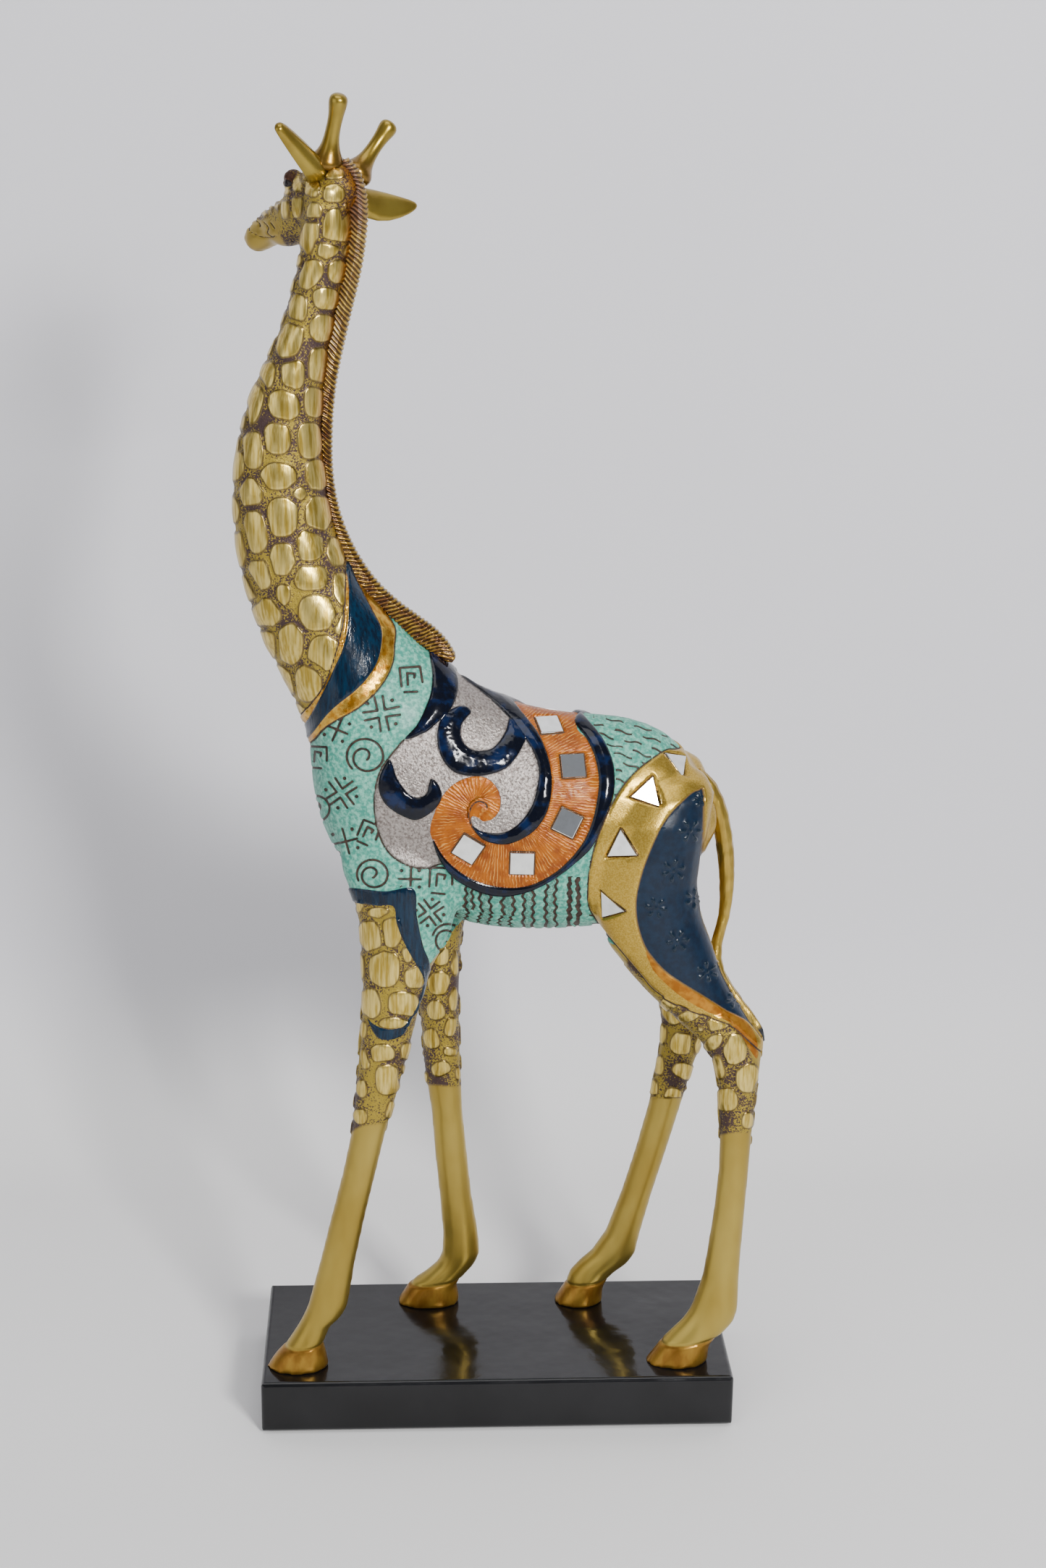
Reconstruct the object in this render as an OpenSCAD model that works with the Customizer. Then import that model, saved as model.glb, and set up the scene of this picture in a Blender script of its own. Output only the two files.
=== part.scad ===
// Standing giraffe figure, cast in parts, pinned together and set with mirror tiles, on a black plinth.
// Millimetres, +Z up. The origin is the middle of the underside. The giraffe faces -X, its left side is -Y.

/* [Figure] */
// Height from the top of the plinth to the tips of the horns
figure_h = 524; // [440:1:640]
// Thickness of the legs against the normal one
leg_girth = 1; // [0.8:0.01:1.25]
// Thickness of the neck against the normal one
neck_girth = 1; // [0.8:0.01:1.2]
// Thickness of the mane at its root
mane_t = 7; // [4:0.1:10]
// Thickness of the tail at its root
tail_d = 8; // [5:0.1:10]
// Length of a horn above the skull
horn_l = 20; // [14:0.5:28]
// Diameter of a horn's shaft
horn_d = 5.6; // [4:0.1:7]
// Diameter of a horn's ball tip
horn_ball_d = 6.9; // [5:0.1:9]
// Length of an ear outside the head
ear_l = 26; // [18:0.5:34]
// Height of an ear at its widest
ear_h = 11; // [7:0.5:14]

/* [Plinth] */
// Height of the plinth with its felt
base_h = 24; // [16:0.5:40]
// Plinth left in front of the leading hoof
base_front = 2; // [1:0.5:30]
// Plinth left behind the trailing hoof
base_rear = 10; // [1:0.5:40]
// Plinth left on each side of the hooves
base_side = 6.5; // [2:0.5:40]
// Rounding of the plinth's edges
edge_r = 2; // [0.5:0.25:4]
// Thickness of the felt
felt_t = 1; // [0.5:0.25:3]
// Distance of the felt from the plinth's edge
felt_inset = 4; // [2:0.5:12]

/* [Mirror tiles] */
// Side of a square tile
square_side = 9.5; // [6:0.1:12]
// Side of a triangular tile
triangle_side = 12.5; // [8:0.1:15]
// Thickness of a tile
tile_t = 1.5; // [1:0.1:2.5]
// Depth of a tile's face under the skin
tile_sink = 0.5; // [0.2:0.1:1]

/* [Pins and fits] */
// Diameter of the pins in the legs
leg_pin_d = 3; // [2:0.1:4]
// Height of the leg pins above the sole
pin_rise = 28; // [18:0.5:30]
// Depth of the leg pins in the plinth
pin_sink = 14; // [6:0.5:15]
// Diameter of the pin in the neck
neck_pin_d = 4; // [2:0.1:6]
// Length of the pin in the neck
neck_pin_l = 50; // [30:1:56]
// Diameter of the pin in the head
head_pin_d = 3; // [2:0.1:4]
// Length of the pin in the head
head_pin_l = 26; // [16:1:30]
// Diameter of the spigots on horns and ears
spigot_d = 3; // [2:0.1:4]
// Length of the spigots on horns and ears
spigot_l = 5; // [3:0.5:6]
// Gap round a pin or a spigot
pin_gap = 0.1; // [0.05:0.01:0.3]
// Gap round a tile and under it
tile_gap = 0.2; // [0.1:0.01:0.4]
// Gap between a glued piece and the skin under it
glue_gap = 0.05; // [0:0.01:0.2]

/* [Hidden] */
SIDES = ["left", "right"];
SQUARES = 5;
TRIANGLES = 4;

normal_h = 524;                  // figure height that the tables below are drawn for
size = figure_h / normal_h;
far = 600;                       // longer than any cut
eps = 0.01;
pocket_reach = 5;                // how far a pocket's cutter stands out of the skin

// The plinth follows the hooves, and the origin is its middle
hoof_front = size * (-85 - 13 * leg_girth);
hoof_rear = size * (76.75 + 13.25 * leg_girth);
hoof_side = size * (28 + 8.5 * leg_girth);
base_l = hoof_rear + base_rear - hoof_front + base_front;
base_w = 2 * (hoof_side + base_side);
shift_x = (hoof_front - base_front + hoof_rear + base_rear) / -2;

// A point of the tables, at its place on the plinth
function at(p) = [size * p.x + shift_x, size * p.y, base_h + size * p.z];
function unit(v) = v / norm(v);

// Catmull-Rom value of a table at a fractional row
function between(a, b, c, d, t) =
    0.5 * (2 * b + (c - a) * t + (2 * a - 5 * b + 4 * c - d) * t * t + (3 * b - a - 3 * c + d) * t * t * t);
function row(tab, s) =
    let (last = len(tab) - 1, i = min(floor(s), last - 1), t = s - i)
    between(tab[max(i - 1, 0)], tab[i], tab[i + 1], tab[min(i + 2, last)], t);
function fine(tab, steps) = [for (i = [0 : steps * (len(tab) - 1)]) row(tab, i / steps)];

// Trunk and neck: x and height of the back, x and height of the belly, half width, how much the
// section narrows upwards
trunk_pitch = 14;                // distance between the upright sections, rump to shoulder
trunk_rump_x = 88;
trunk = [
    [88, 243, 88, 231, 10, 0, 0],
    [74, 266, 74, 203, 25, 0.05, 0],
    [60, 275.5, 60, 194, 29, 0.08, 0],
    [46, 279, 46, 191, 30, 0.08, 0],
    [32, 280, 32, 189.5, 31.5, 0.06, 0],
    [18, 282, 18, 189, 32.5, 0.05, 0],
    [4, 285.5, 4, 189.5, 32.5, 0.06, 0],
    [-10, 292, -10, 191.5, 32, 0.1, 0],
    [-24, 303, -25, 196, 31, 0.16, 0],
    [-33, 311, -43, 202, 30, 0.18, 0],
    [-39, 317, -59, 213, 29, 0.16, 0],
    [-44, 322, -69, 227, 27.5, 0.12, 0],
    [-48, 326, -74.5, 243, 26, 0.08, 0],
    [-51, 329, -76.5, 259, 24.5, 0.05, 0],
    [-54, 332, -77.5, 275, 23, 0, 0]];
neck_rows = [
    [-54, 332, -77.5, 275, 23, 0, 0],
    [-58, 338, -85, 293, 21.5, 0, 0],
    [-62, 346, -93, 309, 20, 0, 0],
    [-65, 355, -99, 325, 18.8, 0, 0],
    [-67.5, 365, -103, 341, 17.8, 0, 0],
    [-69, 376, -105, 358, 17, 0, 0],
    [-70, 389, -105, 375, 16, 0, 0],
    [-70, 403, -102.5, 392, 15, 0, 0],
    [-69, 417, -98, 408, 14, 0, 0],
    [-66.5, 431, -91.5, 422, 13, 0, 0],
    [-63.5, 444, -85.5, 435, 12, 0, -0.5],
    [-60.5, 457, -81.5, 448, 11.2, 0, -1.5],
    [-58.5, 470, -78, 461, 10.4, 0, -3],
    [-58.5, 482, -76.5, 476, 9.8, 0, -4.5],
    [-60, 490, -75, 487, 8, 0, -5.5]];
collar_row = len(trunk) - 1;
throat_z = 468;                  // where the head's casting starts
swell_rows = 6;                  // rings over which the neck's girth comes in

// Legs: height, x of the front edge, x of the back edge, y of the middle, half width
front_left_rows = [
    [0, -98, -72, -28, 8.5], [5.5, -94.5, -72.5, -28, 8.2], [11, -89.5, -74, -28, 7.3],
    [19, -84.5, -71, -27.6, 6.3], [24, -82, -66, -27.5, 6.6], [29, -80, -63.5, -27.3, 6.9],
    [39, -77.4, -61.8, -27, 6.4], [49, -74.8, -60.2, -26.8, 6], [69, -70, -56, -26.3, 5.8],
    [88, -65.2, -51.6, -25.7, 6], [108, -61, -47, -25, 6.5], [127, -59.2, -41.7, -24.5, 7.5],
    [147, -57.2, -36.7, -23.8, 8.6], [167, -56, -31.7, -23, 9.8], [177, -56, -29.5, -22.6, 10.5],
    [187, -56.5, -24, -22, 11.3], [197, -57, -19.5, -21.4, 12], [207, -59, -17, -21, 12.6],
    [221, -64, -16, -20, 13], [238, -66, -20, -17, 11]];
front_right_rows = [
    [0, -43, -15, 26, 8.5], [5, -40, -15.5, 26, 8.2], [9, -37.5, -16.5, 26, 7.4],
    [14, -30.5, -12.5, 26, 6.5], [19, -25, -8.3, 26, 6.5], [24, -22.8, -6.2, 26, 6.9],
    [34, -22.4, -6.8, 25.8, 6.4], [54, -24, -10, 25.4, 5.9], [74, -26, -12, 25, 5.8],
    [94, -27.5, -14, 24.6, 6], [115, -30.5, -15, 24, 6.6], [130, -31.5, -15.5, 23.6, 7.4],
    [147, -33, -15.8, 23.2, 8.4], [167, -35, -15.5, 23, 9.6], [177, -38, -14.5, 22.6, 10.4],
    [187, -42, -12.5, 22, 11.2], [197, -46, -9.5, 21.4, 12], [207, -50, -7.5, 21, 12.6],
    [221, -55, -7, 20, 13], [238, -57, -12, 17, 11]];
rear_left_rows = [
    [0, 63.5, 90, -28, 8.5], [5, 67, 90.5, -28, 8.2], [9.5, 70, 91.5, -28, 7.4],
    [14, 74, 97, -27.8, 6.5], [19, 79, 101, -27.5, 6.4], [24, 82.2, 102.4, -27.3, 6.7],
    [29, 84, 102.6, -27, 6.8], [39, 87, 102.6, -26.6, 6.3], [49, 88.5, 103, -26.2, 5.9],
    [69, 91, 104, -25.6, 5.7], [88, 92.5, 105, -25, 5.8], [108, 92.5, 106, -24.4, 6.3],
    [128, 91, 107.5, -23.6, 7.2], [138, 88.8, 108.6, -23.3, 7.7], [147, 82.5, 109, -22.8, 8.6],
    [156, 73, 102.5, -22.2, 9.6], [166, 62.8, 96, -21.6, 11], [176, 53.8, 91, -21, 12.5],
    [188, 44.5, 87, -20, 14.3], [200, 39.5, 82.5, -19, 15.8], [214, 34, 80.5, -17.8, 17.2],
    [228, 33, 82, -16.6, 18.2], [241, 37, 84.5, -15.2, 18], [251, 45, 86, -13.4, 16],
    [257, 54, 83, -11.5, 12], [261, 62, 77, -10, 5.5]];
rear_right_rows = [
    [0, 27, 49, 25, 8.3], [5, 30, 49, 25, 8], [9, 32.5, 50, 25, 7.3],
    [14, 34, 53.5, 25, 6.5], [19, 38, 60, 24.9, 6.4], [24, 43.5, 63.3, 24.8, 6.7],
    [34, 49.8, 65.2, 24.6, 6.5], [54, 56.5, 70, 24.2, 5.9], [74, 62, 75.5, 23.8, 5.8],
    [95, 67, 81, 23.4, 6], [115, 70.5, 86, 23, 6.7], [126, 71.8, 89.5, 22.8, 7.4],
    [136, 71.8, 93, 22.5, 7.9], [146, 70, 95, 22.2, 8.6], [156, 66, 94.5, 21.8, 9.6],
    [166, 60, 92, 21.4, 10.9], [176, 53.5, 89.5, 20.9, 12.4],
    [188, 46, 87, 20, 14.2], [200, 39.5, 82.5, 19, 15.8], [214, 34, 80.5, 17.8, 17.2],
    [228, 33, 82, 16.6, 18.2], [241, 37, 84.5, 15.2, 18], [251, 45, 86, 13.4, 16],
    [257, 54, 83, 11.5, 12], [261, 62, 77, 10, 5.5]];
front_cut = 194;                 // height of the joints between the front legs and the torso
rear_cut = 166;                  // height of the joints between the rear legs and the torso
fetlock_rows = [5, 5, 6, 5];     // the row at each fetlock: front left, front right, rear left, rear right
cuts = [front_cut, front_cut, rear_cut, rear_cut];
all_legs = [front_left_rows, front_right_rows, rear_left_rows, rear_right_rows];

// Mane: the edge's x, y and height, then how far the root lies behind it
mane_rows = [
    [-18, 0, 305, 3], [-21, 0, 310.5, 7], [-27, 0, 317, 9], [-38, 0, 325, 10],
    [-47, 0, 333, 10.5], [-54, 0, 342, 10.5], [-59.5, 0, 352, 10], [-63.5, 0, 363, 9.5],
    [-65.8, 0, 375, 9], [-66.4, 0, 387, 9], [-65.8, 0, 402, 9], [-64, -0.6, 416, 9],
    [-61, -1.8, 430, 9.5], [-57.8, -3.4, 444, 10], [-55, -5, 456, 10],
    [-53.2, -6.6, 467, 10], [-52.4, -7.8, 478, 8.5], [-52.9, -7.6, 486.5, 9],
    [-55.2, -6.5, 494, 9], [-59.5, -4, 498.6, 7]];
mane_root_dir = [
    [-0.5, 0, -0.87], [-0.5, 0, -0.87], [-0.5, 0, -0.87], [-0.6, 0, -0.8],
    [-0.7, 0, -0.71], [-0.8, 0, -0.6], [-0.88, 0, -0.47], [-0.95, 0, -0.31],
    [-0.99, 0, -0.14], [-1, 0, 0], [-1, 0, 0.1], [-0.98, 0.1, 0.12],
    [-0.95, 0.25, 0.12], [-0.9, 0.4, 0.1], [-0.86, 0.5, 0.05],
    [-0.83, 0.56, 0], [-0.8, 0.6, -0.1], [-0.7, 0.5, -0.5], [-0.45, 0.3, -0.84],
    [-0.2, 0.15, -0.97]];

// Tail: x, y and height of the middle, radius against the root's
tail_rows = [
    [80, 0, 254, 1], [86, 0, 248, 1], [91, -0.5, 236, 0.95], [93.5, -1, 222, 0.92],
    [94.6, -2, 208, 0.78], [93.6, -4, 194, 0.62], [90.5, -6.5, 182, 0.65], [91, -9, 171, 0.8],
    [97, -11.5, 160, 0.95], [104, -13.5, 151, 0.95], [108, -15, 146, 0.7], [110, -16, 142.5, 0.25]];
tail_rows_d = 8;                 // tail thickness that the rows above are drawn for
tail_lean = [-0.35, -0.94, 0];   // from the tail's end to the left hock

// Head, in its own frame: x, height of the brow line, height of the jaw line, half width. The head
// looks along -X and the horns stand on the origin.
head_rows = [
    [4, -8, -12, 3], [2, -3.6, -15.5, 6.2], [-1.5, -1, -17.8, 8], [-8, 0.6, -20, 10],
    [-16, 1.8, -20, 11.6], [-22, 1.8, -19.5, 11.2], [-28, 1.2, -18.5, 9.4], [-34, 1.2, -17.5, 8.2],
    [-40, 1.6, -15.5, 7.6], [-45, 2, -11.5, 6.4], [-51, 2.3, -10, 6.2], [-56, 1.4, -9, 5.2],
    [-58.5, -0.4, -7, 3.4], [-59.5, -2, -5, 1.4]];
brow = [-19.5, 9.2, 0.4];           // middle of the ridge over the left or right eye
brow_d = 7;
head_at = [-61, 0, 497];
head_turn = [-23, -31, -42];
horn_side = 7.5;                 // horn's root from the middle of the skull
horn_drop = 1;                   // and under the top of the skull
// The sculpted head isn't symmetric, so horns and ears have a left and a right entry
horn_dirs = [[16.2, -6.6, 11.75], [10.4, 6.1, 13.6]];
horn_share = [1, 0.9];           // length against horn_l
ear_roots = [[-5, -10.5, -6], [-4, 8.5, -12.8]];
ear_dirs = [[7.9, -22, 6.1], [5.1, 22, 3.4]];
ear_rows = [[-1, 0.34, 0.5], [2, 0.5, 0.9], [6, 0.8, 1.3], [11, 1, 1.4], [16, 0.92, 1.2],
    [21, 0.64, 0.9], [25, 0.3, 0.55], [27, 0.06, 0.2]];
ear_rows_l = 27;                 // ear length that the rows above are drawn for

// Tiles on the trunk: the section's x, the angle from the top of the back, and the turn
squares = [[19.5, 19, 18], [28.5, 48, 7], [26, 79, -24], [8, 102, 7], [-13.5, 102, -7]];
triangles = [[72, 30, 62], [58.5, 62, 80], [47.5, 234, 98], [43, 207.5, 116]];
crown_triangles = 2;             // the others lie on the thigh: x, height and turn

// ---- skins ----

// A closed skin over rings that have the same number of points
module skin(rings) {
    n = len(rings[0]);
    m = len(rings);
    polyhedron(
        points = [for (r = rings) each r],
        faces = concat(
            [[for (i = [n - 1 : -1 : 0]) i], [for (i = [0 : n - 1]) (m - 1) * n + i]],
            [for (j = [0 : m - 2], i = [0 : n - 1])
                let (a = j * n + i, b = j * n + (i + 1) % n) [a, b, b + n]],
            [for (j = [0 : m - 2], i = [0 : n - 1])
                let (a = j * n + i, b = j * n + (i + 1) % n) [a, b + n, a + n]]),
        convexity = 6);
}

// Keeps booleans of sculpted skins as one closed surface
module sculpted() {
    resize([0, 0, 0]) children();
}

trunk_sides = 32;
neck_sides = 28;
leg_sides = 20;
head_sides = 24;
tail_sides = 10;

function section(r, t, girth = 1) =
    let (back = [r[0], r[6], r[1]], belly = [r[2], r[6], r[3]])
    at((back + belly) / 2 + (back - belly) / 2 * cos(t)
       - [0, girth * r[4] * sin(t) * (1 - r[5] * cos(t)), 0]);
function leg_point(r, t) =
    at([(r[1] + r[2]) / 2 + leg_girth * (r[2] - r[1]) / 2 * cos(t), r[3] - leg_girth * r[4] * sin(t), r[0]]);
function leg_rings(rows) =
    [for (r = rows) [for (i = [0 : leg_sides - 1]) leg_point(r, 360 * i / leg_sides)]];

module trunk_skin() {
    skin([for (r = fine(trunk, 2)) [for (k = [0 : trunk_sides - 1]) section(r, 360 * k / trunk_sides)]]);
}

// The neck's girth grows from the collar upwards, so that it still meets the torso there
module neck_skin() {
    rows = fine(neck_rows, 2);
    swell = [for (i = [0 : len(rows) - 1]) 1 + (neck_girth - 1) * min(1, i / swell_rows)];
    skin([for (i = [0 : len(rows) - 1])
        [for (k = [0 : neck_sides - 1]) section(rows[i], 360 * k / neck_sides, swell[i])]]);
}

module leg_skin(i) {
    skin(leg_rings(fine(all_legs[i], 1)));
}

// What lies under a height of the tables
module under(z) {
    translate([-far, -far, at([0, 0, z]).z - 2 * far]) cube(2 * far);
}

module over(z) {
    translate([-far, -far, at([0, 0, z]).z]) cube(2 * far);
}

module cut_leg(i) {
    intersection() {
        leg_skin(i);
        under(cuts[i]);
    }
}

module leg_root(i) {
    intersection() {
        leg_skin(i);
        over(cuts[i]);
    }
}

// ---- pins ----

// A rod from a point in a direction
module rod(from, dir, l, d) {
    n = unit(dir);
    translate(from) rotate([0, acos(n.z), atan2(n.y, n.x)]) cylinder(h = l, d = d, $fn = 32);
}

// Leg pins run from the middle of the sole to the middle of the fetlock
function middle(r) = at([(r[1] + r[2]) / 2, r[3], r[0]]);
function sole(i) = middle(all_legs[i][0]);
function pin_dir(i) = unit(middle(all_legs[i][fetlock_rows[i]]) - sole(i));

module leg_pin(i, gap = 0) {
    d = pin_dir(i);
    down = (pin_sink + gap) / d.z;
    rod(sole(i) - d * down, d, down + (pin_rise + gap) / d.z, leg_pin_d + 2 * gap);
}

function ring_middle(r) = (section(r, 0) + section(r, 180)) / 2;
neck_pin_mid = ring_middle(trunk[collar_row]);
neck_pin_dir = unit(ring_middle(neck_rows[2]) - ring_middle(trunk[collar_row - 2]));

module neck_pin_rod(gap = 0) {
    rod(neck_pin_mid - neck_pin_dir * (neck_pin_l / 2 + gap), neck_pin_dir, neck_pin_l + 2 * gap,
        neck_pin_d + 2 * gap);
}

head_pin_mid = at([-66, -3.6, throat_z]);
head_pin_dir = unit([11, -5, 33]);

module head_pin_rod(gap = 0) {
    rod(head_pin_mid - head_pin_dir * (head_pin_l / 2 + gap), head_pin_dir, head_pin_l + 2 * gap,
        head_pin_d + 2 * gap);
}

// ---- head, horns and ears ----

module in_head() {
    translate(at(head_at)) rotate(head_turn) children();
}

module skull_skin() {
    rows = fine(head_rows, 2);
    in_head() skin([for (r = rows) [for (k = [0 : head_sides - 1])
        let (t = 360 * k / head_sides)
        size * [r[0], -r[3] * sin(t), (r[1] + r[2]) / 2 + (r[1] - r[2]) / 2 * cos(t)]]]);
    for (y = [-1, 1]) in_head() scale(size) translate([brow.x, y * brow.y, brow.z]) scale([1.3, 1, 0.8])
        sphere(d = brow_d, $fn = 24);
}

// A horn with the spigot that it is glued in by; side is 0 for left and 1 for right. gap makes the
// seat that it fits.
module horn(side, gap = 0) {
    flare = 1.35;
    taper = 0.9;
    from = size * [0, (2 * side - 1) * horn_side, -horn_drop];
    n = unit(horn_dirs[side]);
    l = horn_l * horn_share[side] * size + horn_drop;
    in_head() translate(from) rotate([0, acos(n.z), atan2(n.y, n.x)]) {
        cylinder(h = l, d1 = horn_d * flare + 2 * gap, d2 = horn_d * taper + 2 * gap, $fn = 32);
        translate([0, 0, l]) sphere(d = horn_ball_d + 2 * gap, $fn = 32);
        translate([0, 0, -spigot_l - gap])
            cylinder(h = spigot_l + gap + eps, d = spigot_d + 2 * gap, $fn = 24);
    }
}

// An ear is a curved leaf, thin at its rim. Its long axis runs out from the head.
module ear(side, gap = 0) {
    long = unit(ear_dirs[side]);
    high = unit(cross(cross(long, [0.25, 0, 1]), long));
    thick = cross(high, long);
    from = size * ear_roots[side];
    sides = 16;
    rings = [for (r = fine(ear_rows, 2)) [for (k = [0 : sides - 1])
        let (t = 360 * k / sides, h = (r[1] * ear_h / 2 + gap) * size)
        from + long * r[0] * size * ear_l / ear_rows_l
            + high * h * cos(t) + thick * (r[2] * size + gap) * sin(t)]];
    in_head() skin(rings);
    in_head() translate(from) rotate([0, acos(long.z), atan2(long.y, long.x)])
        translate([0, 0, -spigot_l - gap]) cylinder(h = spigot_l + gap, d = spigot_d + 2 * gap, $fn = 24);
}

// ---- mane and tail ----

mane_section = [[1, 1], [0.55, 0.95], [0.2, 0.8], [0.04, 0.45], [0, 0], [0.04, -0.45], [0.2, -0.8],
    [0.55, -0.95], [1, -1]];

module mane_skin() {
    rows = fine(mane_rows, 2);
    dirs = fine(mane_root_dir, 2);
    last = len(rows) - 1;
    skin([for (i = [0 : last])
        let (r = rows[i], along = unit(rows[min(i + 1, last)] - rows[max(i - 1, 0)]),
             run = unit([along[0], along[1], along[2]]), in = unit(dirs[i]), side = unit(cross(run, in)))
        [for (m = mane_section)
            at([r[0], r[1], r[2]] + in * r[3] * m[0]) - side * mane_t / 2 * m[1]]]);
}

module tail_skin() {
    rows = fine(tail_rows, 2);
    last = len(rows) - 1;
    slack = (size * tail_rows_d - tail_d) / 2;   // the lower half moves by this to stay on the hock
    skin([for (i = [0 : last])
        let (r = rows[i], run = rows[min(i + 1, last)] - rows[max(i - 1, 0)],
             ahead = unit([run[0], run[1], run[2]]), side = unit(cross([0, 1, 0], ahead)),
             across = cross(ahead, side))
        [for (k = [0 : tail_sides - 1])
            let (t = 360 * k / tail_sides)
            at([r[0], r[1], r[2]]) + max(0, 2 * i / last - 1) * slack * r[3] * unit(tail_lean)
                + tail_d / 2 * r[3] * (side * cos(t) - across * sin(t))]]);
}

// ---- mirror tiles ----

// The row of a table at which its height is z, by halving
function level(tab, z, lo = 0, hi = 0, n = 18) =
    n == 0 ? (lo + hi) / 2
    : let (top = hi == 0 ? len(tab) - 1 : hi, mid = (lo + top) / 2)
      row(tab, mid)[0] < z ? level(tab, z, mid, top, n - 1) : level(tab, z, lo, mid, n - 1);

function barrel_point(x, t) = section(row(trunk, (trunk_rump_x - x) / trunk_pitch), t);
function left_haunch(side) =
    side == "left" ? rear_left_rows : [for (r = rear_right_rows) [r[0], r[1], r[2], -r[3], r[4]]];
function haunch_point(tab, x, z) =
    let (r = row(tab, level(tab, z)), mid = (r[1] + r[2]) / 2,
         t = acos(max(-1, min(1, (x - mid) / ((r[2] - r[1]) / 2 * leg_girth)))))
    leg_point(r, t);

// The frame of a tile: its place, its level edge and its outward normal
function tile_frame(p, level_edge, up_edge) =
    let (n = unit(cross(level_edge, up_edge)), ex = unit(level_edge), ey = cross(n, ex))
    [[ex.x, ey.x, n.x, p.x], [ex.y, ey.y, n.y, p.y], [ex.z, ey.z, n.z, p.z], [0, 0, 0, 1]];
function trunk_frame(q) =
    tile_frame(barrel_point(q[0], q[1]), barrel_point(q[0] + 1, q[1]) - barrel_point(q[0] - 1, q[1]),
        barrel_point(q[0], q[1] - 1) - barrel_point(q[0], q[1] + 1));
function thigh_frame(side, q) =
    let (tab = left_haunch(side))
    tile_frame(haunch_point(tab, q[0], q[1]),
        haunch_point(tab, q[0] + 1, q[1]) - haunch_point(tab, q[0] - 1, q[1]),
        haunch_point(tab, q[0], q[1] + 1) - haunch_point(tab, q[0], q[1] - 1));

// The tile, or with cut the pocket that it is glued in
module tile(shape, side, i, cut = false) {
    q = shape == "square" ? squares[i - 1] : triangles[i - 1];
    gap = cut ? tile_gap : 0;
    low = tile_sink + tile_t + gap;
    high = cut ? pocket_reach : -tile_sink;
    mirror([0, side == "right" ? 1 : 0, 0])
        multmatrix(shape == "square" || i <= crown_triangles ? trunk_frame(q) : thigh_frame(side, q))
        rotate([0, 0, q[2]]) translate([0, 0, -low])
        if (shape == "square")
            translate([-square_side / 2 - gap, -square_side / 2 - gap, 0])
                cube([square_side + 2 * gap, square_side + 2 * gap, high + low]);
        else
            linear_extrude(high + low) circle(r = triangle_side / sqrt(3) + 2 * gap, $fn = 3);
}

module pockets() {
    for (s = SIDES) {
        for (i = [1 : SQUARES]) tile("square", s, i, true);
        for (i = [1 : TRIANGLES]) tile("triangle", s, i, true);
    }
}

// ---- pieces ----

// A block with all of its edges rounded: the overlap of three rounded slabs
module rounded_slab(a, b, h, r) {
    translate([0, 0, -h / 2]) linear_extrude(h) union() {
        square([a - 2 * r, b], center = true);
        square([a, b - 2 * r], center = true);
        for (x = [-1, 1], y = [-1, 1]) translate([x * (a / 2 - r), y * (b / 2 - r)]) circle(r, $fn = 48);
    }
}

module base_plinth() {
    h = base_h - felt_t;
    color("black") difference() {
        translate([0, 0, felt_t + h / 2]) intersection() {
            rounded_slab(base_l, base_w, h, edge_r);
            rotate([90, 0, 0]) rounded_slab(base_l, h, base_w, edge_r);
            rotate([0, 90, 0]) rounded_slab(h, base_w, base_l, edge_r);
        }
        for (i = [0 : 3]) leg_pin(i, pin_gap);
    }
}

module base_felt() {
    color("dimgray") translate([0, 0, felt_t / 2])
        rounded_slab(base_l - 2 * felt_inset, base_w - 2 * felt_inset, felt_t, edge_r);
}

module torso() {
    color("mediumaquamarine") sculpted() difference() {
        union() {
            difference() {
                trunk_skin();
                for (i = [0 : 3]) cut_leg(i);
            }
            for (i = [0 : 3]) leg_root(i);
        }
        pockets();
        neck_pin_rod(pin_gap);
        tail_skin();
    }
}

module neck() {
    color("darkkhaki") sculpted() difference() {
        neck_skin();
        over(throat_z);
        skull_skin();
        neck_pin_rod(pin_gap);
        head_pin_rod(pin_gap);
    }
}

module head() {
    color("goldenrod") sculpted() difference() {
        union() {
            skull_skin();
            intersection() {
                neck_skin();
                over(throat_z);
            }
        }
        head_pin_rod(pin_gap);
        for (s = [0, 1]) {
            horn(s, glue_gap);
            ear(s, glue_gap);
        }
    }
}

// Bridges the collar under the mane, where the trunk and the neck only touch
module collar_core() {
    translate(at([-56.7, 0, 325.5])) sphere(r = 6 * size, $fn = 24);
}

module mane() {
    color("saddlebrown") sculpted() difference() {
        mane_skin();
        trunk_skin();
        neck_skin();
        skull_skin();
        collar_core();
        ear(1, glue_gap);
    }
}

module tail() {
    color("darkgoldenrod") sculpted() difference() {
        tail_skin();
        leg_skin(2);
        leg_skin(3);
    }
}

module leg(i) {
    color("darkkhaki") sculpted() difference() {
        cut_leg(i);
        leg_pin(i, pin_gap);
    }
}

module steel() {
    color("silver") children();
}

base_plinth();
base_felt();
torso();
neck();
head();
color("goldenrod") ear(0);  // left_ear
color("goldenrod") ear(1);  // right_ear
color("darkgoldenrod") horn(0);  // left_horn
color("darkgoldenrod") horn(1);  // right_horn
mane();
tail();
leg(0);  // front_left_leg
leg(1);  // front_right_leg
leg(2);  // rear_left_leg
leg(3);  // rear_right_leg
steel() leg_pin(0);  // front_left_pin
steel() leg_pin(1);  // front_right_pin
steel() leg_pin(2);  // rear_left_pin
steel() leg_pin(3);  // rear_right_pin
steel() neck_pin_rod();  // neck_pin
steel() head_pin_rod();  // head_pin
for (s = SIDES, i = [1 : SQUARES])
    color("silver") tile("square", s, i);
for (s = SIDES, i = [1 : TRIANGLES])
    color("silver") tile("triangle", s, i);
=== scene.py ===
import math

import bmesh
import bpy
import numpy as np
from mathutils import Matrix, Vector


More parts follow.
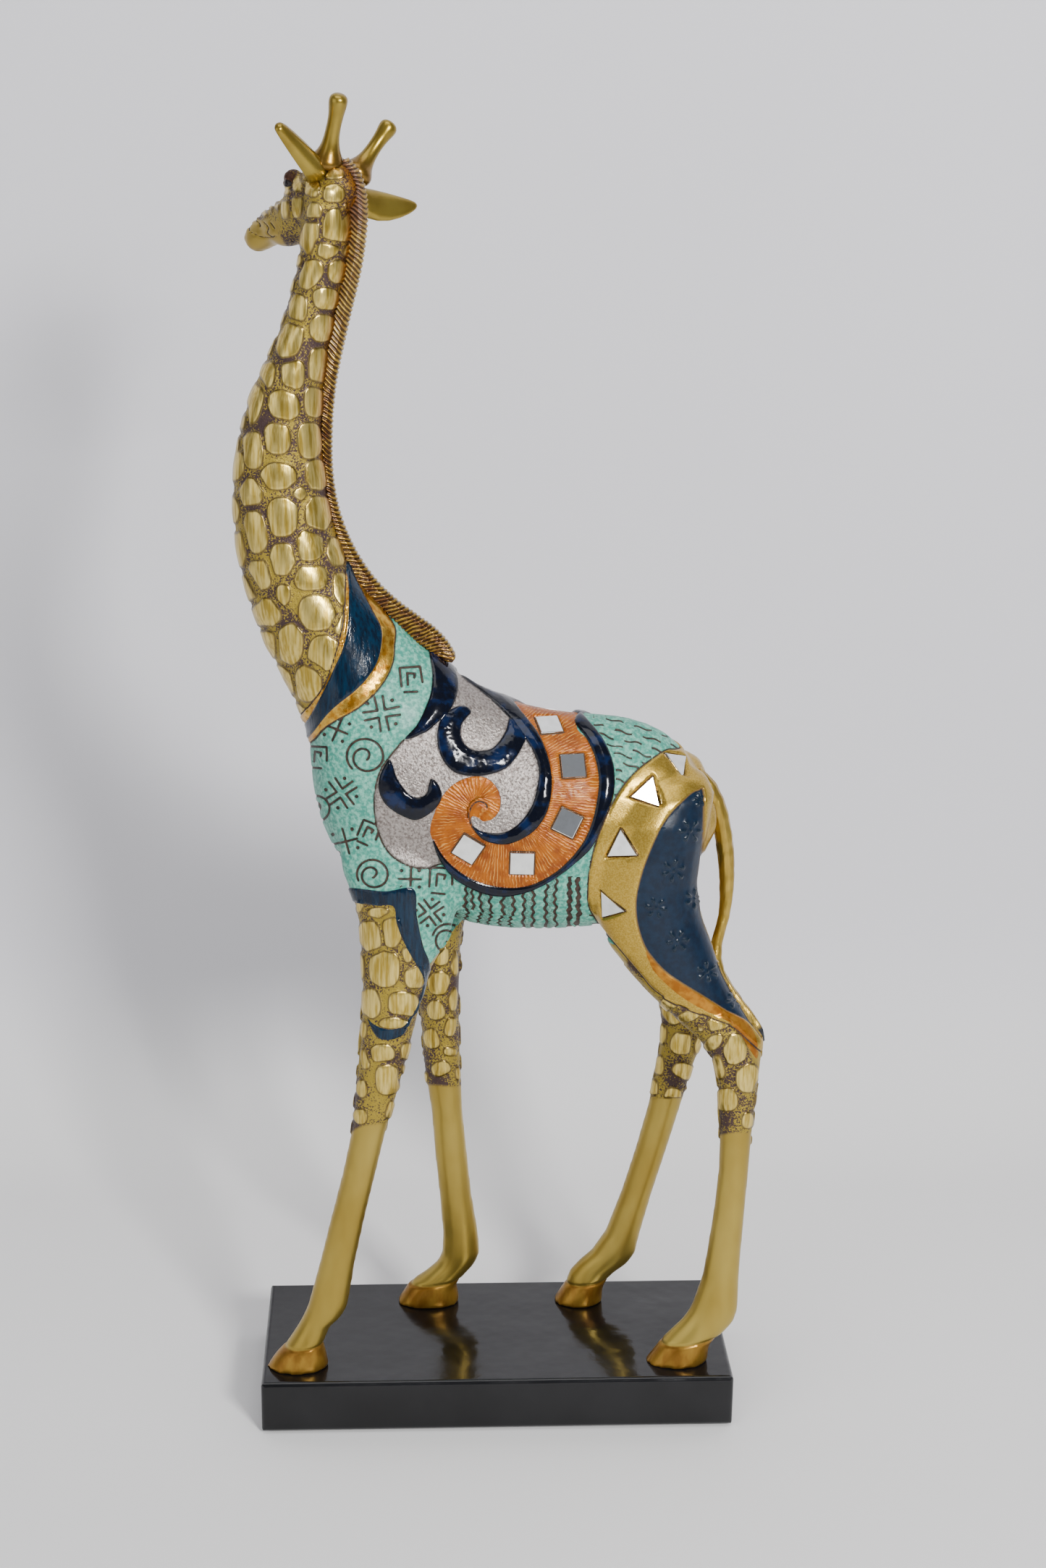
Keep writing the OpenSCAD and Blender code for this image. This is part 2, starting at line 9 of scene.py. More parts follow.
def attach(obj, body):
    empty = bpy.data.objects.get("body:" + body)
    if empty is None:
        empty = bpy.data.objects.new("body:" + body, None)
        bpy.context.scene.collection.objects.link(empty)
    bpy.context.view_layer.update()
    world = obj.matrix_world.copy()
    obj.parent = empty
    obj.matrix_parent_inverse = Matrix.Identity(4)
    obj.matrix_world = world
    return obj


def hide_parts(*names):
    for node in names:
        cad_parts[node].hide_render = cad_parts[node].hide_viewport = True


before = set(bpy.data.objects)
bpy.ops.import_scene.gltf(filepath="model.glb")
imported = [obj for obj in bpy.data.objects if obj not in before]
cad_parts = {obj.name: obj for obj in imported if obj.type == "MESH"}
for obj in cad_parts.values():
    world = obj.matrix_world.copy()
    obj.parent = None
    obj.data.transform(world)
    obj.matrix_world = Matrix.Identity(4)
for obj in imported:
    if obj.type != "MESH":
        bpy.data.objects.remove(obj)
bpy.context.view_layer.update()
mm = 0.001  # the lists below are in millimetres, in the model's own frame

# The camera comes first: what a viewer sees is set from here.
shot = {
    "place": (-38.5, -958.9, 573.1),
    "heading": 2.872,
    "down": 17.279,
    "roll": 0.658,
    "lens": 56.48,
}


def setCamera():
    heading, down, roll = (math.radians(shot[k]) for k in ("heading", "down", "roll"))
    ahead = Vector((math.sin(heading) * math.cos(down), math.cos(heading) * math.cos(down), -math.sin(down)))
    right = ahead.cross(Vector((0, 0, 1))).normalized()
    up = right.cross(ahead)
    across = right * math.cos(roll) + up * math.sin(roll)
    above = up * math.cos(roll) - right * math.sin(roll)
    data = bpy.data.cameras.new("camera")
    data.lens = shot["lens"]
    data.sensor_width = 36
    data.clip_start = 0.01
    camera = bpy.data.objects.new("camera", data)
    turn = Matrix((across, above, -ahead)).transposed().to_4x4()
    camera.matrix_world = Matrix.Translation(Vector(shot["place"]) * mm) @ turn
    bpy.context.scene.collection.objects.link(camera)
    bpy.context.scene.camera = camera


setCamera()
print("camera set")


def linked(name, mesh):
    obj = bpy.data.objects.new(name, mesh)
    bpy.context.scene.collection.objects.link(obj)
    return obj


def vertexPlaces(mesh):
    flat = np.empty(len(mesh.vertices) * 3, np.float32)
    mesh.vertices.foreach_get("co", flat)
    return flat.reshape(-1, 3).astype(float)


def vertexNormals(mesh):
    flat = np.empty(len(mesh.vertices) * 3, np.float32)
    mesh.vertices.foreach_get("normal", flat)
    return flat.reshape(-1, 3).astype(float)


def setPlaces(mesh, places):
    mesh.vertices.foreach_set("co", places.astype(np.float32).ravel())
    mesh.update()


def edgePairs(mesh):
    flat = np.empty(len(mesh.edges) * 2, np.int32)
    mesh.edges.foreach_get("vertices", flat)
    return flat.reshape(-1, 2)


# Evens out a mesh without shrinking it: every pull in is followed by a push out
def relax(mesh, rounds, pull=0.5, push=-0.53):
    places = vertexPlaces(mesh)
    pairs = edgePairs(mesh)
    count = len(places)
    ends = np.concatenate([pairs[:, 0], pairs[:, 1]])
    others = np.concatenate([pairs[:, 1], pairs[:, 0]])
    share = np.maximum(np.bincount(ends, minlength=count), 1)[:, None]
    for step in range(rounds * 2):
        sums = np.stack([np.bincount(ends, places[others, k], count) for k in range(3)], 1)
        places += (pull if step % 2 == 0 else push) * (sums / share - places)
    setPlaces(mesh, places)


def putAttribute(mesh, name, values):
    layer = mesh.attributes.new(name, "FLOAT", "POINT")
    layer.data.foreach_set("value", values.astype(np.float32))


# Makes a piece's modifiers part of its mesh
def settle(obj):
    bpy.context.view_layer.update()
    mesh = bpy.data.meshes.new_from_object(obj.evaluated_get(bpy.context.evaluated_depsgraph_get()))
    obj.modifiers.clear()
    rough = obj.data
    obj.data = mesh
    bpy.data.meshes.remove(rough)


# Copies of CAD nodes grown into one even, closed skin
def castBlank(name, nodeNames, voxel):
    bm = bmesh.new()
    for node in nodeNames:
        bm.from_mesh(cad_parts[node].data)
    bmesh.ops.remove_doubles(bm, verts=bm.verts, dist=0.002 * mm)
    mesh = bpy.data.meshes.new(name)
    bm.to_mesh(mesh)
    bm.free()
    obj = linked(name, mesh)
    grow = obj.modifiers.new("grow", "REMESH")
    grow.mode = "VOXEL"
    grow.voxel_size = voxel * mm
    settle(obj)
    keepLargest(obj.data)
    return obj


# One round of subdivision on a smoothed coarse skin gives a fine, even one
def refined(obj):
    finer = obj.modifiers.new("finer", "SUBSURF")
    finer.levels = finer.render_levels = 1
    settle(obj)


def islands(bm):
    seen = set()
    found = []
    for start in bm.verts:
        if start in seen:
            continue
        seen.add(start)
        island = [start]
        for vert in island:
            for edge in vert.link_edges:
                other = edge.other_vert(vert)
                if other not in seen:
                    seen.add(other)
                    island.append(other)
        found.append(island)
    return sorted(found, key=len, reverse=True)


def keepLargest(mesh):
    bm = bmesh.new()
    bm.from_mesh(mesh)
    for island in islands(bm)[1:]:
        bmesh.ops.delete(bm, geom=island, context="VERTS")
    bm.to_mesh(mesh)
    bm.free()


# Patterns are drawn on one upright plane and thrown on to the skin from a point, the same on both sides.
stencil = {"from": (-38.5, -958.9, 573.1), "plane": -20.0}


def smoothLine(points, closed=False, steps=6):
    p = np.array(points, float)
    if closed:
        p = np.vstack([p[-1], p, p[0], p[1]])
    else:
        p = np.vstack([2 * p[0] - p[1], p, 2 * p[-1] - p[-2]])
    line = []
    for a, b, c, d in zip(p[:-3], p[1:-2], p[2:-1], p[3:]):
        for t in np.arange(steps) / steps:
            square, cube = 2 * a - 5 * b + 4 * c - d, 3 * b - a - 3 * c + d
            line.append(0.5 * (2 * b + (c - a) * t + square * t**2 + cube * t**3))
    if not closed:
        line.append(p[-2])
    return np.array(line)


reach = 6.0  # how far, in millimetres, a distance is worked out


def lineDistance(at, line, closed=False):
    best = np.full(len(at), reach)
    low, high = line.min(0) - reach, line.max(0) + reach
    near = np.nonzero(((at > low) & (at < high)).all(1))[0]
    p = at[near]
    ends = np.roll(line, -1, 0) if closed else line[1:]
    found = np.full(len(near), reach)
    for a, b in zip(line, ends):
        along = b - a
        t = np.clip(((p - a) @ along) / max(along @ along, 1e-9), 0, 1)
        gap = p - a - t[:, None] * along
        found = np.minimum(found, np.sqrt((gap**2).sum(1)))
    best[near] = found
    return best


def insideLoop(at, loop):
    inside = np.zeros(len(at), bool)
    for a, b in zip(loop, np.roll(loop, -1, 0)):
        cross = (a[1] > at[:, 1]) != (b[1] > at[:, 1])
        if a[1] != b[1]:
            inside ^= cross & (at[:, 0] < a[0] + (at[:, 1] - a[1]) * (b[0] - a[0]) / (b[1] - a[1]))
    return inside


# Distance to a loop's edge, positive inside it
def regionDistance(at, loop):
    d = lineDistance(at, loop, True)
    return np.where(insideLoop(at, loop), d, -d)


def ramp(values, low, high):
    t = np.clip((values - low) / (high - low), 0, 1)
    return t * t * (3 - 2 * t)



# Loops on the stencil plane, x and height. A smooth line runs through their points.
loops = {
    "blueBand": [(-61, 372), (-60.5, 358), (-61, 345), (-63, 336), (-66, 329), (-69, 322), (-73, 314),
                 (-77, 307), (-81, 302), (-80, 298), (-75.5, 301), (-69, 309.5), (-64, 314.5), (-58, 319.5),
                 (-53, 325), (-49.5, 331), (-47.8, 338), (-48, 345), (-52, 353), (-57, 363)],
    "goldBand": [(-60, 372), (-63, 345), (-70, 322), (-80, 308), (-81, 296), (-75, 299), (-71, 303.5),
                 (-66, 307), (-58, 311.5), (-51, 317.5), (-46, 324), (-43, 331), (-42.3, 338), (-42, 345),
                 (-46, 352), (-54, 364)],
    "yoke": [(-86, 300), (-75, 300), (-66, 308), (-50, 322), (-46, 350), (-20, 350), (30, 330), (70, 310),
             (84, 300), (80, 230), (60, 190), (0, 190), (-14, 216), (-17, 221), (-22, 212), (-26, 207.5),
             (-29, 204), (-31.5, 212), (-34, 225), (-35.5, 236), (-47, 235), (-58, 236.5), (-66, 236),
             (-86, 250)],
    "field": [(-30, 350), (-24, 336), (-22, 320), (-24, 311), (-31, 304), (-38.5, 299.5), (-42, 295.5),
              (-45.5, 291), (-48.5, 286), (-50.5, 279), (-51, 272), (-50.3, 264), (-48, 256.5), (-44.5, 251),
              (-40, 247.5), (-35, 245.5), (-29, 245.3), (-21, 247), (0, 244), (25, 250), (33, 280),
              (18, 312), (0, 330)],
    "orange": [(3, 316), (8, 310), (13.5, 303), (17, 296), (19.5, 287), (20, 278), (18.5, 269.5), (15, 263),
               (10, 258.5), (3, 255.5), (-3, 255.8), (-8, 258), (-11, 262), (-12.3, 266.5), (-10, 267),
               (-7, 265), (-3.5, 266), (-1, 269), (-0.3, 274), (-1.5, 278.5), (-5, 282.5), (-10, 284),
               (-16, 282.5), (-21, 279), (-24.5, 274), (-27, 268), (-28.5, 262), (-27.5, 257), (-24, 251),
               (-19, 245.5), (-12, 240.5), (-4, 237.5), (4, 236.5), (12, 237.5), (20, 241.5), (27, 247.5),
               (33, 255.5), (36.5, 264), (38.5, 274), (39, 282), (37.5, 291), (34, 299), (29.5, 305),
               (31, 318), (10, 324)],
    "swoosh": [(-34, 350), (-30, 338), (-28.5, 331), (-27.8, 325), (-28.5, 318), (-31, 311), (-34, 305),
               (-38.5, 299.5), (-31, 302), (-26, 306), (-21.5, 310.5), (-19, 315), (-17.7, 320), (-18, 325),
               (-20.5, 331), (-25, 338), (-29, 350)],
    "upperScroll": [(-12.5, 310.5), (-14, 312.5), (-17, 313), (-20.5, 311.5), (-23.5, 309), (-25.5, 304),
                    (-25.7, 298), (-24, 292), (-21, 287.5), (-17, 285), (-10, 284), (-4, 285), (2, 287.5),
                    (5.5, 291.5), (8, 296), (9.3, 300), (6.5, 304.5), (3, 308), (1.5, 303), (-1, 298.5),
                    (-4, 295.5), (-8, 294.5), (-12, 295), (-15, 297.5), (-16.5, 301), (-16.3, 305),
                    (-14.5, 308)],
    "lowerScroll": [(-45, 291), (-48.3, 285), (-49, 279), (-47, 273.5), (-43.5, 270), (-40, 267.8),
                    (-35, 265.8), (-31, 267), (-27, 270), (-24.5, 273.5), (-24, 277), (-25.5, 281),
                    (-28, 283), (-29, 280.5), (-30, 276.8), (-33, 275.2), (-36, 276), (-39, 279), (-42, 284),
                    (-43.5, 289)],
    "crescent": [(-18, 330), (-8, 324), (0, 319), (4, 315), (8, 310), (13.5, 303), (17, 296), (19.5, 287),
                 (20, 278), (18.5, 269.5), (15, 263), (10, 258.5), (3, 255.5), (-3, 255.8), (-8, 258),
                 (-12, 263.5), (-8, 261), (-2, 260), (3, 261), (8, 265), (12, 271), (14, 278), (14.8, 286),
                 (13, 293), (9.5, 299), (4, 306.5), (-2, 313), (-8, 318.5), (-16, 325)],
    "outerBand": [(29, 306), (31, 310), (35, 306), (38, 302.5), (41, 298), (44, 291), (45.2, 284),
                  (45, 276), (43, 268), (40, 260), (36, 253), (30, 247), (24, 242), (17, 237.5),
                  (10, 234.5), (2, 233), (-6, 234), (-13, 237), (-19, 241), (-23, 246), (-26, 252),
                  (-27.5, 258), (-24, 251.5), (-19, 245.8), (-12, 240.8), (-4, 237.8), (4, 236.8),
                  (12, 237.8), (20, 241.8), (27, 247.7), (33, 255.7), (36.5, 264), (38.5, 274), (39, 282),
                  (37.5, 291), (34, 299)],
    "haunch": [(72, 296), (66, 295), (60, 291), (54, 286), (49, 280), (45, 273), (41.5, 265), (38.5, 256),
               (36.5, 247), (35.5, 238), (35.8, 229), (38, 224), (42, 218), (50, 208), (58, 198), (64, 191),
               (75, 184), (95, 176), (118, 165), (118, 250), (100, 300), (84, 304)],
    "panel": [(81.5, 277), (79, 278), (76, 276.5), (72, 272.5), (68, 268), (64.3, 262), (60.5, 253),
              (57.5, 244), (55.5, 235), (55, 228), (56, 220), (59, 211), (63, 205), (68, 199.5), (74, 195),
              (81, 190.5), (88, 186), (94, 182), (99, 179.5), (104, 176), (112, 166), (113, 172),
              (104, 186), (95, 199), (88, 212), (84, 222), (82, 236), (82, 256)],
    "strip": [(60, 209), (68, 199.5), (74, 195), (81, 190.5), (88, 186), (94, 182), (100, 179), (106, 171),
              (108, 160), (104, 165), (98, 174), (92, 179), (84, 183), (76, 188), (69, 194), (63, 201)],
    "cuff": [(-62, 237), (-47, 235.5), (-35.3, 236.5), (-34, 225), (-31.5, 212), (-29, 205), (-28.6, 198),
             (-31, 191), (-34.5, 183), (-37.5, 177), (-40, 172.5), (-46, 170.3), (-51, 172.5), (-55, 182),
             (-54, 180), (-51, 177), (-46, 175.3), (-41, 176), (-37.5, 180), (-34.5, 186), (-32, 193),
             (-32.3, 199), (-35, 205), (-39, 213), (-42, 222), (-43.5, 229), (-50, 229.3), (-56, 230.5),
             (-62, 232)],
}

# Each spot: x, height, half width, half height and lean in degrees
neckSpots = {
    "plane": -20,
    "spots": [(-76, 322.5, 5, 7.8, 0), (-86.5, 323, 4.6, 8, -15), (-69.5, 335, 6.7, 7.6, 8),
              (-83, 338.5, 5, 8.6, 4),
              (-92, 338, 4.2, 6.6, -15), (-80, 310, 4, 5.2, -25), (-72.5, 351, 7.6, 7.2, 0),
              (-92, 351, 5.6, 5.8, 0),
              (-85.5, 358.2, 3, 4.2, 0), (-63, 346, 3, 5.2, 20), (-63.3, 360, 3.2, 7.2, -6),
              (-75, 365, 6.4, 5.2, 0),
              (-94.3, 366, 4.4, 6.4, -10), (-98.7, 361, 3, 5.6, -15), (-85.5, 372, 5.2, 6.6, 0),
              (-75.3, 377.5, 5.4, 6.1, -8), (-65.5, 375, 3.2, 6.2, -12), (-95.5, 383, 4.3, 8.4, -8),
              (-85.3, 389, 5.8, 7.8, 0), (-72, 390, 5, 7.2, 0), (-97.3, 398.5, 4.9, 5.7, 0),
              (-78.7, 398.3, 2.8, 3.1, 0),
              (-86.5, 404.5, 6.8, 5.3, 0), (-72.5, 405, 4.5, 6.2, 0), (-102, 408, 2.6, 7, 0),
              (-103.5, 392, 2.4, 6, 0),
              (-102, 376, 3, 7.2, -4), (-88, 300, 4, 6, -30)],
}
throatSpots = {
    "plane": -12,
    "spots": [(-96.5, 413.3, 4.2, 7.2, 0), (-87.2, 418, 5, 6.4, -4), (-75.2, 417, 4.8, 7, 0),
              (-95.2, 431.3, 3.2, 8.3, 12),
              (-84.3, 430.8, 5.8, 6.2, -12), (-73, 432, 4, 6.2, 0), (-90, 442, 3, 5.4, 12),
              (-80.6, 442.5, 4.6, 5.6, 0),
              (-71.3, 446, 4, 7, 0), (-81.3, 455, 4.5, 7.2, 22), (-69.2, 460, 5, 5.1, 0),
              (-78.3, 467.5, 3.4, 5.4, 6),
              (-67.8, 471, 5, 4.1, 0), (-73.5, 480, 4, 6.2, 32), (-63, 481.5, 4.2, 4.6, 0),
              (-67, 489.3, 4.2, 3.6, 10),
              (-73.4, 493.5, 3.4, 6.4, 10), (-64.7, 498, 4.1, 6.6, 8), (-59.6, 490, 2.4, 5, 0),
              (-72, 503.5, 2.9, 3.3, 0),
              (-77.6, 505, 2.9, 4.4, 8), (-82.3, 504, 1.9, 3.5, 0), (-72.4, 512.2, 3.2, 4.2, 0),
              (-64.3, 509.6, 4.1, 3.3, 0),
              (-63.8, 516.8, 3.6, 2.4, 0), (-78, 512.5, 2.2, 3.4, -22), (-82, 511.3, 1.8, 3, -20),
              (-85.2, 505, 1, 2.8, -15),
              (-88, 505, 1.1, 2.2, -30), (-90.6, 502.6, 1.6, 1.9, 0), (-93.6, 501.8, 1.5, 1.6, 0),
              (-58.5, 503, 2.4, 5, 0),
              (-89, 453, 1.7, 4.4, 20), (-84.4, 464, 1.4, 4, 14), (-79.7, 476, 1.4, 4.2, 20),
              (-77.2, 485.5, 1.5, 3.2, 10),
              (-102, 415, 1.6, 4, 0), (-99.3, 425, 1.5, 4.5, 8), (-94.5, 444, 1.2, 3.6, 15),
              (-69, 519, 2, 2, 0)],
}
outerFrontSpots = {
    "plane": -22,
    "spots": [(-52.8, 217, 4.4, 6.8, -6), (-44, 218.5, 3.9, 6.6, -4), (-56.6, 229.5, 1.6, 2.8, 0),
              (-49.5, 227, 4.6, 2.4, 0),
              (-47, 202.5, 6.2, 8.1, 0), (-35.4, 199, 3.9, 5, 0), (-38.3, 208.5, 1.8, 3.6, -20),
              (-52.5, 187.5, 4, 6.9, -6),
              (-39.7, 187.3, 6.1, 5.6, 0), (-43.5, 179, 5.8, 2.4, 0), (-56, 203.5, 1.4, 6.4, 0),
              (-48.3, 165.5, 5.2, 3.9, 0),
              (-38.6, 166, 2.7, 4.4, 8), (-55.4, 176, 1.5, 4.2, 0), (-55, 162.8, 1.9, 4.8, -10),
              (-46.4, 153.5, 5.1, 6.9, 0),
              (-39.7, 156, 1.4, 4.2, 0), (-56.6, 149.5, 2.2, 4.2, 0), (-57.4, 137, 2.7, 3.5, 0),
              (-45.6, 140, 1.8, 4.2, 15),
              (-59, 191, 1.2, 4, 0), (-30, 178, 3, 5, 0)],
}
innerFrontSpots = {
    "plane": -22,
    "spots": [(-25, 196.3, 4.3, 5.2, 0), (-26.2, 184.3, 3.4, 4.4, -10), (-27.8, 171.8, 3, 4.8, -10),
              (-20.5, 177, 2.4, 4.6, 10),
              (-19.5, 189, 1.9, 5.4, 0), (-20.6, 166, 2.9, 2.2, 0), (-24, 158.2, 3.9, 3.4, -18),
              (-17.4, 156, 1, 3.4, 0),
              (-19, 205, 1.6, 5.5, 0), (-32.5, 164, 1.6, 3, 0), (-35, 176, 3, 5, 0), (-36, 190, 4, 6, 0),
              (-34, 203, 5, 5, 0),
              (-24, 208, 4, 4, -30), (-43, 197, 3, 6, 0), (-31, 154, 2, 3, 0)],
}
outerRearSpots = {
    "plane": -22,
    "spots": [(79, 181.6, 5.4, 2.9, -28), (91, 178, 5.8, 3.2, -20), (97.8, 165.8, 4.8, 7, 0),
              (89, 169, 4.6, 3, -38),
              (91.5, 158, 2.4, 5.8, -12), (103.3, 152.8, 4.6, 6.8, 0), (95.2, 143, 4.4, 5.4, -12),
              (104, 133.6, 2.6, 3.8, 0),
              (92, 132, 1.3, 3.8, 0), (108, 143, 1.4, 5, 0), (107.5, 166, 1.6, 5, 0), (70, 187, 4, 3, -30),
              (84, 175.5, 2, 1.6, 0)],
}
innerRearSpots = {
    "plane": -22,
    "spots": [(71, 182, 3.6, 5.4, -20), (75.5, 168.5, 4.8, 5.2, 0), (66.8, 158.5, 2, 4.8, 0),
              (76.5, 156.5, 4.6, 3.4, 25),
              (72.5, 145.5, 3.6, 3.4, 20), (64.8, 149, 2, 4, 0), (68, 173, 1.6, 5, 0),
              (81.5, 168, 2, 4, 0), (80, 180, 4, 4, 0),
              (79, 146, 2, 3.5, 0)],
}

# Where the hide with its spots is, on the neck and on the two sides of a leg
hideLoops = {
    "neck": [(-52, 380), (-61, 366), (-61, 345), (-66, 329), (-73, 314), (-78, 306), (-86, 290), (-130, 300),
             (-130, 560), (0, 560), (-20, 420)],
    "outerFront": [(-70, 234), (-43, 232), (-34, 215), (-28, 203), (-28, 190), (-33, 180), (-36, 160),
                   (-40, 138),
                   (-46, 133.5), (-56, 132), (-66, 132), (-70, 180)],
    "innerFront": [(-60, 206), (-40, 205), (-29, 205), (-26, 208), (-22, 212.5), (-17, 221), (-8, 224),
                   (-8, 160),
                   (-14, 150), (-28, 150), (-40, 152), (-60, 170)],
    "outerRear": [(52, 206), (58, 198.5), (65, 192), (73, 186), (83, 182), (92, 180.6), (98, 175.5),
                  (103, 167),
                  (106.5, 159), (116, 154), (116, 129), (100, 127), (88, 127), (60, 140)],
    "innerRear": [(50, 198), (62, 192), (68, 188), (78, 186), (92, 182), (92, 140), (80, 143), (68, 143),
                  (58, 144),
                  (50, 160)],
}

# Marks cut into the skin, each a list of smooth lines on the stencil plane
marks = {
    "inkHalf": 0.5,
    "squareSpirals": [(-36, 324.6, 4.6, 0), (-73.6, 292.5, 4.0, 8), (-53.5, 260.5, 4.2, 28),
                      (-24.3, 240.3, 5, 8)],
    "roundSpirals": [(-54.5, 292.3, 7.3, 0), (-52, 242.6, 6.3, 20), (-74.5, 270.5, 5.5, 40),
                     (-21, 214.5, 6.5, 60)],
    "brackets": [(-47.6, 310, 7.2, -8), (-64.2, 277, 6.6, -32), (-28.5, 226, 6, -35)],
    "crosses": [(-65.6, 303.6, 5.2, 22), (-62.8, 256.8, 5.4, -16), (-36.5, 240.6, 4.8, 0)],
    "flowers": [(76.8, 260.5, 5, 0), (70.3, 243.5, 5, 20), (63.5, 227.5, 4.6, 50), (72.8, 213, 5, 10),
                (79.5, 231.5, 4.4, 30), (85.6, 199.5, 4.6, 40), (97.5, 187, 4, 10), (80.5, 274, 3, 0)],
    "curl": [(-5.6, 270.6), (-6.3, 272.4), (-9, 273.4), (-11.6, 271.8), (-12.9, 268), (-12.2, 263.6),
             (-9.6, 259.9),
             (-6, 257.3)],
    "orangePath": [(-7, 271), (-5, 275.5), (-9, 279), (-15, 277.5), (-19.5, 272), (-20.5, 265), (-19, 257),
                   (-14, 250), (-6, 246.5), (4, 246), (13, 247.5), (21, 252.5), (26.5, 261), (29, 271),
                   (29.5, 282), (27.5, 292), (23, 301), (17, 310), (6, 322)],
    "muzzle": [(-102, 497), (-99, 500.5), (-95, 500.3), (-91, 499.4), (-87.5, 499.6), (-85, 498.5),
               (-85.5, 494), (-84.5, 486), (-102, 484)],
    "face": [[(-96.4, 497.6), (-97.7, 496), (-98.2, 493.8)],
             [(-98.3, 493.4), (-95, 491.3), (-91, 490.9), (-87, 493)],
             [(-91.2, 498.8), (-89.7, 496.4), (-90.6, 493.6), (-88.5, 491.8)],
             [(-88.6, 498.8), (-87.2, 496.2)],
             [(-94.6, 499.8), (-93, 498), (-93.2, 496.4)]],
    "bellyBars": [(-6, 2.1), (3, 2.1), (11.4, 2.0), (20.4, 2.0), (-12.8, 1.4), (28.2, 0.2), (31.6, 0.2)],
}


def placed(points, x, z, size, turn):
    c, s = math.cos(math.radians(turn)), math.sin(math.radians(turn))
    return np.array([(x + size * (c * u + s * v), z + size * (c * v - s * u)) for u, v in points])


def squareSpiral(x, z, size, turn):
    outer = [(-0.8, -0.75), (-0.95, 0.9), (0.8, 1.05), (1.0, -0.35)]
    inner = [(-0.25, -0.6), (-0.3, 0.45), (0.35, 0.4), (0.3, 0.05)]
    foot = [(0.55, -1.2), (-0.55, -1.25)]
    return [placed(points, x, z, size, turn) for points in (outer, inner, foot)]


def roundSpiral(x, z, size, turn):
    coil = []
    for k in range(44):
        t = math.radians(225 - 15 * k)
        r = 1.0 if k < 16 else max(0.22, 1.0 - 0.034 * (k - 16))
        coil.append((r * math.cos(t), r * math.sin(t)))
    return [placed(coil, x, z, size, turn)]


def bracketCross(x, z, size, turn):
    arms, gap = [], 0.2
    for quarter in range(4):
        arms.append(placed([(gap, 1), (gap, gap), (1, gap * 1.3)], x, z, size, turn + 90 * quarter))
    return arms


def plainCross(x, z, size, turn):
    return [placed([(0, -1), (0.06, 1)], x, z, size, turn), placed([(-1, 0), (0.9, -0.05)], x, z, size, turn)]


def dotsOf(x, z, size, turn, out):
    return placed([(out, out), (-out, out), (-out, -out), (out, -out)], x, z, size, turn)


def inkField(at):
    best = np.full(len(at), reach)
    for maker, key in ((squareSpiral, "squareSpirals"), (roundSpiral, "roundSpirals"),
                       (bracketCross, "brackets"),
                       (plainCross, "crosses")):
        for mark in marks[key]:
            for line in maker(*mark):
                best = np.minimum(best, lineDistance(at, line))
    for mark, out in [(m, 0.68) for m in marks["brackets"]] + [(m, 0.75) for m in marks["crosses"]]:
        for dot in dotsOf(*mark, out):
            best = np.minimum(best, np.hypot(*(at - dot).T) - 0.3)
    return best


# Wavy upright bars on the belly: how deep inside a bar, and the distance to its wavy edge
def bellyBars(at, wander):
    bar = np.full(len(at), -reach)
    edge = np.full(len(at), reach)
    for x, half in marks["bellyBars"]:
        wave = 0.45 * np.sin(at[:, 1] * 1.7 + x) + 0.5 * wander
        left = at[:, 0] - (x - half + wave)
        right = (x + half + 0.45 * np.sin(at[:, 1] * 1.7 + x + 2.2) + 0.5 * wander) - at[:, 0]
        bar = np.maximum(bar, np.minimum(left, right))
        edge = np.minimum(edge, np.minimum(np.abs(left), np.abs(right)))
    return bar, edge


def rumpWaves(at, wander):
    lean = at[:, 1] + 0.3 * (at[:, 0] - 45) + 0.35 * np.sin(at[:, 0] * 0.9) + 0.6 * wander
    pitch = 3.4
    phase = (lean - 283) / pitch
    line = np.abs(phase - np.round(phase)) * pitch
    broken = np.sin(at[:, 0] * 0.55 + np.round(phase) * 2.1) > -0.55
    return np.where(broken, line, reach)


# Petals and a middle dot, raised on the panel
def flowerField(at):
    best = np.full(len(at), -reach)
    for x, z, size, turn in marks["flowers"]:
        near = np.hypot(at[:, 0] - x, at[:, 1] - z)
        pick = np.nonzero(near < size * 1.5)[0]
        p = at[pick]
        found = 0.55 - near[pick]
        for k in range(6):
            angle = math.radians(turn + 60 * k)
            tip = np.array([math.cos(angle), math.sin(angle)])
            a, b = np.array([x, z]) + tip * size * 0.42, np.array([x, z]) + tip * size * 0.82
            t = np.clip(((p - a) @ (b - a)) / ((b - a) @ (b - a)), 0, 1)
            d = np.hypot(*(p - a - t[:, None] * (b - a)).T)
            found = np.maximum(found, 0.28 + 0.5 * t - d)
        best[pick] = np.maximum(best[pick], found)
    return best


# How deep a point is inside the nearest spot; spots that crowd each other share a straight edge
def spotField(at, spots, gap):
    first = np.full(len(at), -reach)
    second = np.full(len(at), -reach)
    for x, z, a, b, lean in spots:
        near = np.nonzero(np.hypot(at[:, 0] - x, at[:, 1] - z) < max(a, b) + 5)[0]
        c, s = math.cos(math.radians(lean)), math.sin(math.radians(lean))
        dx, dz = at[near, 0] - x, at[near, 1] - z
        u, v = (dx * c - dz * s) / a, (dx * s + dz * c) / b
        size = (a * b) ** 0.5
        r = (np.abs(u) ** 2.5 + np.abs(v) ** 2.5) ** (1 / 2.5)
        found = (1 - r) * (0.5 * size + 0.5 * min(a, b))
        one, two = first[near], second[near]
        first[near] = np.maximum(one, found)
        second[near] = np.maximum(two, np.minimum(one, found))
    return np.minimum(first, (first - second) / 2 - gap)


print("patterns ready")


